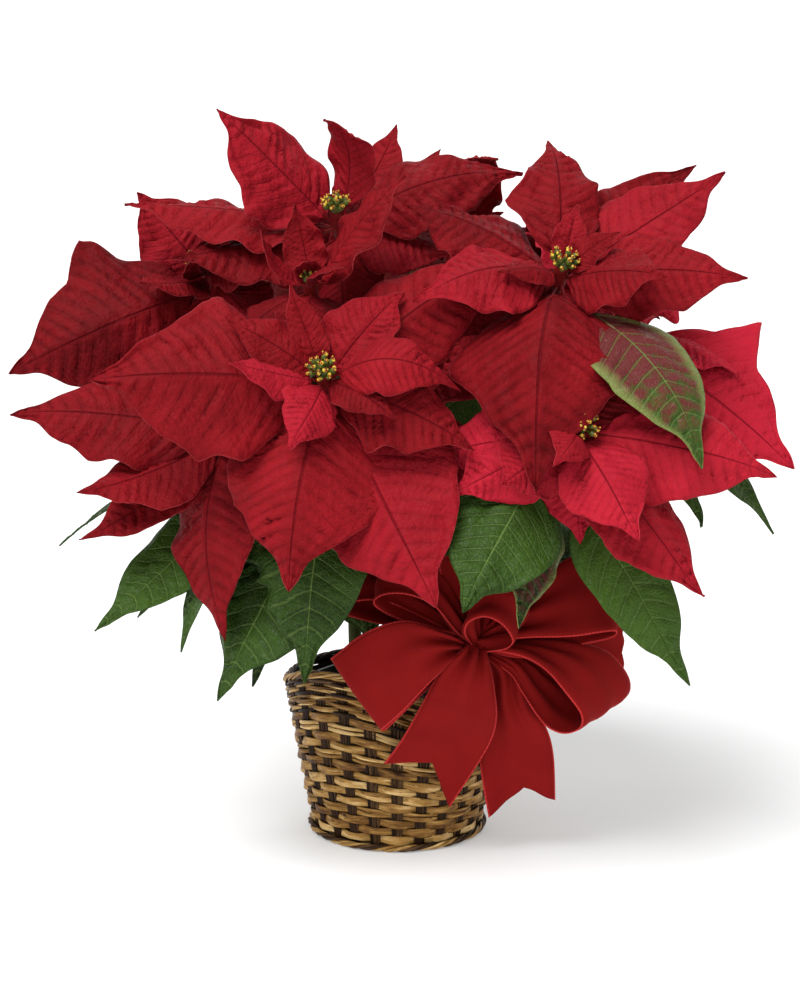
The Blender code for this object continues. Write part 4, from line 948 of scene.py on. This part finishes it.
# The basket: flat split weavers of golden willow go over and under dark stakes of four thin rods each, with pairs of
# thin twisted strands above them. The wall leans out, and its top rises to an ear at the front and at the back.
BASKET_HEIGHT = 110 * MM
BASKET_BASE_RADIUS = 59.5 * MM
BASKET_TOP_RADIUS = 80 * MM
WALL = 4.5 * MM
STAKES = 24
RODS_PER_STAKE = 4
EAR_RISE = 21 * MM
EAR_AZIMUTHS = (-122, 58)
EAR_HALF_SPAN = 58
RIM_RADIUS = 3.4 * MM
FOOT_HEIGHT = 6 * MM
WEAVER_ROWS = 14
DOUBLED_ROWS = (3, 9, 12)
TWINED_ROWS = 7
FLOOR_RINGS = 12


def ear(azimuth):
    rise = 0.0
    for centre in EAR_AZIMUTHS:
        away = abs((math.degrees(azimuth) - centre + 180) % 360 - 180)
        if away < EAR_HALF_SPAN:
            rise = max(rise, (0.5 + 0.5 * math.cos(math.pi * away / EAR_HALF_SPAN)) ** 0.6)
    return rise


def wall_radius(share):
    return BASKET_BASE_RADIUS + (BASKET_TOP_RADIUS - BASKET_BASE_RADIUS) * share**0.85


def wall_top(azimuth):
    return BASKET_HEIGHT - RIM_RADIUS * 1.6 + EAR_RISE * ear(azimuth)


def polar(azimuth, radius=1.0, height=0.0):
    """A point round the basket's axis, or, as it stands, the direction outward."""
    return Vector((math.cos(azimuth) * radius, math.sin(azimuth) * radius, height))


def on_wall(azimuth, share, outward):
    return polar(azimuth, wall_radius(share) - WALL / 2 + outward, wall_top(azimuth) * share)


def circle(sides):
    """The corners of a round profile one in radius, as cosine and sine."""
    return [(math.cos(a), math.sin(a)) for a in np.linspace(0, 2 * math.pi, sides + 1)[:-1]]


def strand(name, centres, sections, closed, finish):
    """A strand swept through its centres; each section is its profile in world directions. Its map runs along it,
    and tone is how pale this strand is."""
    run, tone = basket_rng.uniform(0, 40), basket_rng.random()
    points, faces, uvs = [], [], []
    sides, count = len(sections[0]), len(centres)
    for centre, section in zip(centres, sections):
        points += [centre + offset for offset in section]
    spans = count if closed else count - 1
    for i in range(spans):
        for k in range(sides):
            j, after = (i + 1) % count, (k + 1) % sides
            faces.append((i * sides + k, i * sides + after, j * sides + after, j * sides + k))
            u, v = run + i * 0.01, k / sides
            uvs += [(u, v), (u, v + 1 / sides), (u + 0.01, v + 1 / sides), (u + 0.01, v)]
    if not closed:
        faces.append(tuple(reversed(range(sides))))
        faces.append(tuple(range((count - 1) * sides, count * sides)))
        uvs += [(run, 0)] * sides * 2
    mesh = mesh_of(name, points, faces, uvs)
    pale = mesh.attributes.new("tone", "FLOAT", "POINT")
    pale.data.foreach_set("value", np.full(len(points), tone, np.float32))
    return finished(placed(name, mesh), finish)


def wicker_finish(name, stops, coat):
    made = Finish(name, roughness=0.45, coat_weight=coat, coat_roughness=0.18, specular_ior_level=0.1)
    run, across = made.uv()
    tone = made.node("ShaderNodeAttribute", {"attribute_name": "tone"}, {}, "Fac")
    along = made.node("ShaderNodeCombineXYZ", {}, {0: run * 9.0, 1: across * 2.5, 2: tone * 5.0})
    fibre = made.node("ShaderNodeCombineXYZ", {}, {0: run * 16.0, 1: across * 42.0, 2: tone * 9.0})
    blotch = made.noise(along, 1.0, 3.0, 0.6)
    grain = made.noise(fibre, 1.0, 4.0, 0.7)
    knots = made.noise(along, 3.7, 2.0, 0.5).over(0.62, 0.72)
    shade = (blotch * 0.95 + grain * 0.60 + tone * 0.34 - 0.46 - knots * 0.22).clamped()
    colour = made.node("ShaderNodeValToRGB", {"stops": stops}, {0: shade})
    # Painted shade: each strand darkens towards its top and bottom edges and its back, where shade falls in the gaps
    # between strands.
    edge = (across * (2 * math.pi)).cos()
    colour = made.mix(1 - edge.over(-0.10, 0.60), colour, (0.014, 0.005, 0.002))
    made.give(base_color=colour, normal=made.bump(grain, 0.0005, 0.8), roughness=0.30 + grain * 0.35)
    return made.material


GOLDEN = wicker_finish(
    "golden_split_willow",
    ((0.14, (0.030, 0.009, 0.002)), (0.33, (0.170, 0.072, 0.014)), (0.53, (0.400, 0.215, 0.052)),
     (0.78, (0.86, 0.60, 0.27))),
    0.12,
)
DARK = wicker_finish(
    "dark_stake_willow",
    ((0.25, (0.010, 0.004, 0.002)), (0.50, (0.045, 0.020, 0.008)), (0.80, (0.15, 0.080, 0.032))),
    0.04,
)

basket_rng = random.Random(9)
strands = []
for stake in range(STAKES):
    for rod in range(RODS_PER_STAKE):
        beside = (rod - (RODS_PER_STAKE - 1) / 2) * 0.030
        azimuth = 2 * math.pi * stake / STAKES + beside + basket_rng.uniform(-0.003, 0.003)
        shares = [k / 24 for k in range(25)]
        centres = [on_wall(azimuth, share, 0.15 * MM * math.sin(9 * share + stake)) for share in shares]
        out, level = polar(azimuth), Vector((-math.sin(azimuth), math.cos(azimuth), 0))
        section = [(out * c * 0.7 + level * q * 1.0) * MM for c, q in circle(6)]
        strands.append(strand("rod", centres, [section] * len(shares), False, DARK))

steps = STAKES * 10
profile = circle(8)


def weaver(share, half, phase, sway, thick, unrest, finish=GOLDEN):
    """A weaver all the way round, over one stake and under the next, rising and falling a little as it goes."""
    centres, sections = [], []
    drift = [basket_rng.uniform(0, 6.28) for _ in range(4)]
    for k in range(steps):
        azimuth = 2 * math.pi * k / steps
        over = math.cos(STAKES / 2 * azimuth + phase)
        over = math.copysign(abs(over) ** 0.8, over)
        rise = math.sin(3 * azimuth + drift[0]) + 0.8 * math.sin(7 * azimuth + drift[1])
        rise += 0.7 * math.sin(13 * azimuth + drift[2])
        tall = half * (1 + 0.10 * math.sin(5 * azimuth + drift[3]) + 0.10 * math.sin(17 * azimuth - drift[0]))
        centres.append(on_wall(azimuth, share, sway * over) + UP * rise * unrest)
        out = polar(azimuth, 1.0, 0.1)
        turn = 0.22 * math.sin(9 * azimuth + drift[2])
        flat = UP * math.cos(turn) + out * math.sin(turn)
        sections.append([out * (thick * c) + flat * tall * math.copysign(abs(q) ** 0.7, q) for c, q in profile])
    strands.append(strand("weaver", centres, sections, True, finish))


plain = FOOT_HEIGHT * 0.8 / BASKET_HEIGHT
twined_from = 0.80
pitch = (twined_from - plain) / WEAVER_ROWS
half = 0.53 * pitch * BASKET_HEIGHT
for row in range(WEAVER_ROWS):
    share = plain + pitch * (row + 0.5)
    phase = math.pi * row
    if row in DOUBLED_ROWS:
        low, high = share - pitch * 0.24, share + pitch * 0.26
        weaver(low, half * 0.52, phase, sway=1.5 * MM, thick=0.95 * MM, unrest=0.22 * MM)
        weaver(high, half * 0.48, phase + 0.15, sway=1.6 * MM, thick=0.9 * MM, unrest=0.22 * MM)
    else:
        weaver(share, half, phase, sway=1.6 * MM, thick=0.9 * MM, unrest=0.18 * MM)
for row in range(TWINED_ROWS):
    share = twined_from + (1 - twined_from) * (row + 0.5) / TWINED_ROWS
    for pair in (0, 1):
        finish = DARK if basket_rng.random() < 0.12 else GOLDEN
        lift = (pair - 0.5) * 0.5 * (1 - twined_from) / TWINED_ROWS
        phase = math.pi * (row + pair * 0.8)
        weaver(share + lift, 1.3 * MM, phase, sway=1.5 * MM, thick=0.95 * MM, unrest=0.42 * MM, finish=finish)
count = 96
for ring in range(FLOOR_RINGS):
    radius = BASKET_BASE_RADIUS * (ring + 0.5) / FLOOR_RINGS
    centres = []
    for i in range(count):
        swing = math.cos(24 * math.pi * i / count + math.pi * ring)
        centres.append(polar(2 * math.pi * i / count, radius, 2.0 * MM + 0.5 * MM * swing))
    sections = [
        [(Vector((c.x, c.y, 0)).normalized() * a * 2.45 + UP * b * 1.4) * MM for a, b in profile] for c in centres
    ]
    strands.append(strand("floor_ring", centres, sections, True, GOLDEN))
weave = joined("basket_weave", strands)
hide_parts("basket")
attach(weave, "root")

# The basket's borders: a bundle of long strands laid round the top edge with a slow twist, and a thinner one, golden
# and dark, that hides the stakes' ends round the foot.
BORDER_STEPS = 320


def bundle(name, centre_of, turns, spread, thick, finishes):
    """One strand of each finish, twisted so many turns round the closed line of centre_of."""
    pieces = []
    for k, finish in enumerate(finishes):
        centres, sections = [], []
        drift = [basket_rng.uniform(0, 6.28) for _ in range(3)]
        size = thick * basket_rng.uniform(0.82, 1.1)
        for i in range(BORDER_STEPS):
            azimuth = 2 * math.pi * i / BORDER_STEPS
            turn = turns * azimuth + 2 * math.pi * k / len(finishes) + 0.35 * math.sin(3 * azimuth + drift[0])
            out = polar(azimuth)
            away = spread * (1 + 0.12 * math.sin(11 * azimuth + drift[1]))
            centres.append(centre_of(azimuth) + (out * math.cos(turn) + UP * math.sin(turn)) * away)
            width = size * (1 + 0.12 * math.sin(9 * azimuth + drift[2]))
            sections.append([(out * c + UP * q) * width for c, q in profile])
        pieces.append(strand("border", centres, sections, True, finish))
    return joined(name, pieces)


def rim_centre(azimuth):
    return polar(azimuth, wall_radius(1) - WALL / 2, wall_top(azimuth) + SEAT_GAP + RIM_RADIUS * 0.85)


def foot_centre(azimuth):
    return polar(azimuth, BASKET_BASE_RADIUS + 2.3 * MM, 2.9 * MM)


rim_finishes = (GOLDEN, GOLDEN, GOLDEN, DARK, GOLDEN)
rim = bundle("basket_rim_roll", rim_centre, turns=9, spread=1.95 * MM, thick=1.3 * MM, finishes=rim_finishes)
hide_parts("basket_rim")
foot_finishes = (GOLDEN, DARK, DARK, GOLDEN)
foot = bundle("basket_foot_twist", foot_centre, turns=11, spread=1.35 * MM, thick=1.15 * MM, finishes=foot_finishes)
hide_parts("basket_foot")
for piece in (rim, foot):
    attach(piece, "root")

# The grower's pot, thin moulded plastic, and its potting mix: dark crumbs of peat and bark with a few white grains
# of perlite, lying loose on the solid soil.


def grainy_finish(name, low, high, rough, noise, bump):
    """A fine grain in two tones: noise is its scale, detail and roughness, and bump its depth and strength."""
    made = Finish(name, roughness=rough)
    grain = made.noise(made.place(), *noise)
    made.give(base_color=made.mix(grain, low, high), normal=made.bump(grain, *bump))
    return made.material


PLASTIC = grainy_finish("pot_plastic", (0.012, 0.022, 0.014), (0.022, 0.036, 0.024), 0.4, (700.0,), (0.0002, 0.4))
SOIL = grainy_finish("potting_mix", (0.010, 0.006, 0.004), (0.055, 0.033, 0.020), 0.95, (340.0, 5.0, 0.7),
                     (0.002, 1.0))
PERLITE = Finish("perlite", base_color=(0.55, 0.53, 0.48), roughness=0.9).material
for node, finish in (("grower_pot", PLASTIC), ("soil", SOIL)):
    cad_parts[node].data.materials.clear()
    finished(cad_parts[node], finish)

CRUMBS = 420
PERLITE_SHARE = 0.06
SOIL_RADIUS = 61 * MM
LEVEL_RADIUS = 40 * MM
CLEAR_OF_TRUNK = 9 * MM
crumb_rng = random.Random(17)
deselect()
bpy.ops.mesh.primitive_ico_sphere_add(subdivisions=1, radius=1)
lump = bpy.context.object
crumbs = []
stems_at = [(plant["at"].x, plant["at"].y) for plant in PLANTS.values()]
while len(crumbs) < CRUMBS:
    radius = SOIL_RADIUS * math.sqrt(crumb_rng.random())
    angle = crumb_rng.uniform(0, 2 * math.pi)
    x, y = radius * math.cos(angle), radius * math.sin(angle)
    if any(math.hypot(x - a, y - b) < CLEAR_OF_TRUNK for a, b in stems_at):
        continue
    crumb = placed("crumb", lump.data.copy())
    size = crumb_rng.uniform(0.9, 2.6) * MM
    z = SOIL_TOP - max(0.0, radius - LEVEL_RADIUS) / 22 * 3 + size * 0.3
    for vertex in crumb.data.vertices:
        jolt = 1 + crumb_rng.uniform(-0.3, 0.3)
        vertex.co = Vector((x, y, z)) + vertex.co * size * jolt
    crumbs.append(finished(crumb, PERLITE if crumb_rng.random() < PERLITE_SHARE else SOIL))
bpy.data.objects.remove(lump)
loose_soil = joined("loose_soil", crumbs)
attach(loose_soil, "root")

# The bow: one length of 62 mm velvet ribbon, its edges woven round a fine wire, gathered at the knot into loops that
# fan out round a small middle loop, with two tails cut to swallow tails. A bent green wire carries it in the soil.
BOW_CENTRE = mm(51, -98, 158)
RIBBON_HALF_WIDTH = 31 * MM
RIBBON_THICKNESS = 0.8 * MM
GATHER_DEPTH = 4.2 * MM
LOOP_CROWN = 1.2 * MM
TAIL_CROWN = 2.2 * MM
TAIL_STEPS = 44
# Each loop's stations from the knot round to the knot: x, y, z of its left edge and of its right edge, in mm from
# the bow's centre. A tail's run out to its end, and after them stands the point that its notch is cut in to.
BOW_LOOPS = (
    ((-4, -4, 4, -4, -5, -2), (-22, -13, 16, -13, -12, -5), (-46, -18, 25, -28, -18, -17),
     (-72, -19, 17, -46, -18, -37), (-92, -14, 0, -58, -13, -50), (-95, -8, -4, -61, -7, -55),
     (-91, -2, -5, -56, -2, -54), (-62, 4, 8, -30, 0, -28), (-24, 3, 5, -8, 2, -7)),
    ((-3, -4, 6, 0, 4, 8), (-12, -8, 16, -8, 8, 26), (-26, -14, 34, -20, 20, 56), (-44, -15, 42, -39, 24, 72),
     (-60, -12, 41, -55, 27, 74), (-67, -8, 34, -62, 32, 68), (-59, -5, 26, -54, 35, 60),
     (-44, -4, 19, -39, 33, 49), (-28, -4, 14, -22, 26, 34), (-10, -3, 8, -4, 8, 12)),
    ((0, -6, 4, 4, 2, 8), (-5, -13, 14, 4, 4, 26), (-3, -21, 24, 12, 6, 48), (7, -26, 29, 25, 5, 57),
     (18, -26, 24, 38, 6, 54), (25, -24, 13, 45, 10, 43), (21, -22, 7, 40, 12, 34), (11, -16, 4, 27, 12, 24),
     (2, -8, 3, 8, 4, 8)),
    ((5, -3, 5, 6, 2, 10), (34, -12, 11, 34, 6, 36), (64, -13, 12, 62, 14, 58), (86, -9, 14, 84, 24, 61),
     (95, -3, 13, 94, 32, 57), (95, 3, 8, 94, 39, 52), (86, 6, 4, 88, 44, 46), (62, 3, 1, 62, 38, 36),
     (35, 0, 4, 34, 24, 24), (8, 2, 6, 8, 8, 8)),
    ((8, -5, 0, 8, 0, 2), (24, -13, 0, 28, 3, 1), (38, -19, -3, 48, 5, 3), (50, -22, -11, 72, 8, 2),
     (62, -24, -25, 92, 13, -6), (71, -22, -38, 105, 17, -22), (72, -18, -48, 108, 20, -34),
     (66, -14, -54, 104, 24, -42), (57, -10, -55, 94, 26, -44), (47, -6, -49, 78, 26, -38),
     (35, -4, -30, 58, 22, -26), (26, -4, -14, 40, 14, -14), (10, -2, -3, 12, 2, -2)),
    ((-2, 2, 4, 0, 8, 8), (-30, 2, 20, -28, 24, 36), (-60, 2, 33, -58, 36, 62), (-82, 2, 32, -80, 40, 64),
     (-89, 5, 27, -87, 44, 59), (-86, 9, 21, -84, 48, 54), (-54, 10, 12, -54, 42, 38), (-4, 6, 4, 0, 12, 8)),
    ((-6, 2, 4, 8, 2, 4), (-18, 4, 28, 26, 8, 30), (-23, 10, 56, 33, 14, 60), (-22, 18, 70, 33, 22, 76),
     (-21, 28, 72, 32, 32, 78), (-20, 36, 64, 31, 40, 70), (-14, 32, 38, 24, 36, 42), (-6, 14, 12, 8, 16, 12)),
    ((8, 4, 4, 8, 6, -2), (40, 14, 12, 44, 24, -14), (76, 26, 14, 80, 42, -32), (98, 34, 10, 102, 56, -36),
     (104, 40, 5, 107, 62, -40), (98, 46, 0, 100, 66, -42), (44, 26, -2, 44, 40, -20), (8, 8, 2, 8, 10, -4)),
)
BOW_TAILS = (
    (((-4, -4, 2, 5, -4, 1), (-8, -11, 2, 10, -11, -4), (-22, -13, -11, 14, -13, -24),
      (-35, -8, -37, 16, -8, -47), (-48, 4, -65, 10, 4, -72), (-60, 16, -86, -15, 16, -118)),
     (-27, 16, -85)),
    (((2, -2, -3, 12, -2, -3), (7, 0, -15, 31, 2, -15), (6, 6, -36, 38, 6, -40), (5, 10, -61, 50, 10, -58),
      (6, 16, -89, 56, 16, -80), (12, 22, -127, 58, 22, -115)),
     (36, 22, -105)),
)


def velvet_finish():
    made = Finish("red_velvet_ribbon", roughness=0.8, sheen_weight=0.25, sheen_roughness=0.3,
                  sheen_tint=(1.0, 0.14, 0.14), specular_ior_level=0.04)
    across, run = made.uv()
    edge = abs(across * 2 - 1)
    nap = made.noise(made.place(), 1500.0, 2.0)
    cloud = made.noise(made.place(), 40.0, 2.0)
    colour = made.mix(cloud, (0.175, 0.0060, 0.0060), (0.255, 0.0095, 0.0090))
    stitch = (run * 2200.0).cos() * 0.5 + 0.5
    rib = edge.over(0.955, 0.965)
    colour = made.mix(rib * (0.55 + stitch * 0.45), colour, (0.55, 0.035, 0.035))
    height = nap * 0.5 + rib * (0.8 + stitch * 0.5)
    made.give(base_color=colour, normal=made.bump(height, 0.0004, 0.7))
    return made.material


VELVET = velvet_finish()


def ribbon_piece(name, rows):
    """A strip of ribbon through rows of points, each row from the left edge to the right."""
    columns = len(rows[0])
    points = [point for row in rows for point in row]
    faces, uvs = [], []
    run = [0.0]
    for a, b in zip(rows, rows[1:]):
        run.append(run[-1] + (a[columns // 2] - b[columns // 2]).length)
    for i in range(len(rows) - 1):
        for k in range(columns - 1):
            a = i * columns + k
            faces.append((a, a + 1, a + columns + 1, a + columns))
            left, right = k / (columns - 1), (k + 1) / (columns - 1)
            uvs += [(left, run[i]), (right, run[i]), (right, run[i + 1]), (left, run[i + 1])]
    piece = walled(placed(name, mesh_of(name, points, faces, uvs)), RIBBON_THICKNESS, 0, 0)
    return finished(piece, VELVET), run[-1]


def smooth_edge(points, s):
    """A point at share s of a smooth line through the points."""
    spans = len(points) - 1
    at = min(spans - 1e-6, s * spans)
    i = int(at)
    f = at - i
    p = [points[max(0, min(spans, i + k))] for k in (-1, 0, 1, 2)]
    return 0.5 * (
        2 * p[1] + (p[2] - p[0]) * f + (2 * p[0] - 5 * p[1] + 4 * p[2] - p[3]) * f * f
        + (3 * p[1] - p[0] - 3 * p[2] + p[3]) * f**3
    )


def ribbon_rows(stations, notch=None, steps=64, columns=17):
    """Rows of points across the ribbon, between its two edges: gathered at the knot, and cut to a notch at its
    end."""
    lefts = [BOW_CENTRE + mm(*station[:3]) for station in stations]
    rights = [BOW_CENTRE + mm(*station[3:]) for station in stations]
    rows = []
    for k in range(steps + 1):
        s = k / steps
        left, right = smooth_edge(lefts, s), smooth_edge(rights, s)
        behind, ahead = (
            smooth_edge(lefts, near) + smooth_edge(rights, near) for near in (max(0, s - 0.02), min(1, s + 0.02))
        )
        upward = (right - left).cross(ahead - behind).normalized()
        width = (right - left).length
        narrow = 1 - width / (2 * RIBBON_HALF_WIDTH)
        gather = GATHER_DEPTH * min(1.0, max(0.0, narrow) * 1.5) ** 1.2 * min(1.0, width / (16 * MM))
        crown = (TAIL_CROWN if notch else LOOP_CROWN) * math.sin(math.pi * s)
        row = []
        for c in range(columns):
            t = 2 * c / (columns - 1) - 1
            point = left.lerp(right, (t + 1) / 2)
            if notch:
                cut = BOW_CENTRE + mm(*notch) - (lefts[-1] + rights[-1]) / 2
                point += cut * (1 - abs(t)) * max(0.0, (s - 0.5) / 0.5)
            point -= upward * (gather * math.cos(2.5 * math.pi * t + 0.8 * s) + crown * (1 - t * t))
            row.append(point)
        rows.append(row)
    return rows


ribbons = [(f"bow_loop_{k}", ribbon_rows(loop)) for k, loop in enumerate(BOW_LOOPS, 1)]
ribbons += [(f"bow_tail_{k}", ribbon_rows(tail, notch, TAIL_STEPS)) for k, (tail, notch) in enumerate(BOW_TAILS, 1)]
pieces, lengths = [], 0.0
for name, rows in ribbons:
    piece, length = ribbon_piece(name, rows)
    pieces.append(piece)
    lengths += length
bow = joined("bow_ribbon", pieces)
knot_path = [BOW_CENTRE + mm(0, y, 0) for y in (14, 11, 7, 2, -3, -6, -8)]
knot_radii = [r * MM for r in (3.2, 5, 7, 8, 7.6, 6, 3)]
knot_object = finished(placed("bow_knot", tube_mesh(knot_path, knot_radii, 24)), VELVET)
knot_object.data.uv_layers.new(name="UVMap").data.foreach_set("uv", [0.5] * (2 * len(knot_object.data.loops)))
WIRE_GREEN = Finish("green_wire", base_color=(0.02, 0.06, 0.025), roughness=0.4).material
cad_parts["bow_wire"].data.materials.clear()
finished(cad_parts["bow_wire"], WIRE_GREEN)
for piece in (bow, knot_object):
    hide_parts("bow")
    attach(piece, "root")

# The studio: a wide white table that glows a little, an open white surround, one large soft key from the upper left
# and the photograph's view.
deselect()
bpy.ops.mesh.primitive_plane_add(size=80)
table = bpy.context.object
table.name = "studio_floor"
table.data.materials.append(
    Finish("white_table", base_color=(0.76, 0.76, 0.76), roughness=0.9, emission_color=(1.0, 1.0, 1.0),
           emission_strength=0.24).material
)

world = bpy.data.worlds.new("studio")
bpy.context.scene.world = world
world.use_nodes = True
background = world.node_tree.nodes["Background"]
background.inputs["Color"].default_value = (1, 1, 1, 1)
direction = world.node_tree.nodes.new("ShaderNodeTexCoord")
parts = world.node_tree.nodes.new("ShaderNodeSeparateXYZ")
height = world.node_tree.nodes.new("ShaderNodeMapRange")
for key, value in {"From Min": 0.10, "From Max": 0.45, "To Min": 0.95, "To Max": 0.32}.items():
    height.inputs[key].default_value = value
world.node_tree.links.new(direction.outputs["Generated"], parts.inputs[0])
world.node_tree.links.new(parts.outputs["Z"], height.inputs["Value"])
world.node_tree.links.new(height.outputs[0], background.inputs["Strength"])


def sun(name, azimuth, elevation, breadth, power):
    data = bpy.data.lights.new(name, "SUN")
    data.energy = power
    data.angle = math.radians(breadth)
    light = placed(name, data)
    light.rotation_euler = (math.radians(90 - elevation), 0, math.radians(azimuth))


sun("key", azimuth=-40, elevation=61, breadth=40, power=3.3)
sun("front", azimuth=-10, elevation=40, breadth=60, power=0.20)
sun("back", azimuth=165, elevation=45, breadth=60, power=0.85)

camera_data = bpy.data.cameras.new("camera")
camera_data.sensor_width = 36
camera_data.lens = 97.7
camera = placed("camera", camera_data)
distance, aim_height, tilt = 1.9, 0.238, math.radians(13)
camera.location = (0.002, -distance * math.cos(tilt), aim_height + distance * math.sin(tilt))
camera.rotation_euler = (math.radians(90) - tilt, 0, 0)
bpy.context.scene.camera = camera
bpy.context.scene.view_settings.view_transform = "Standard"
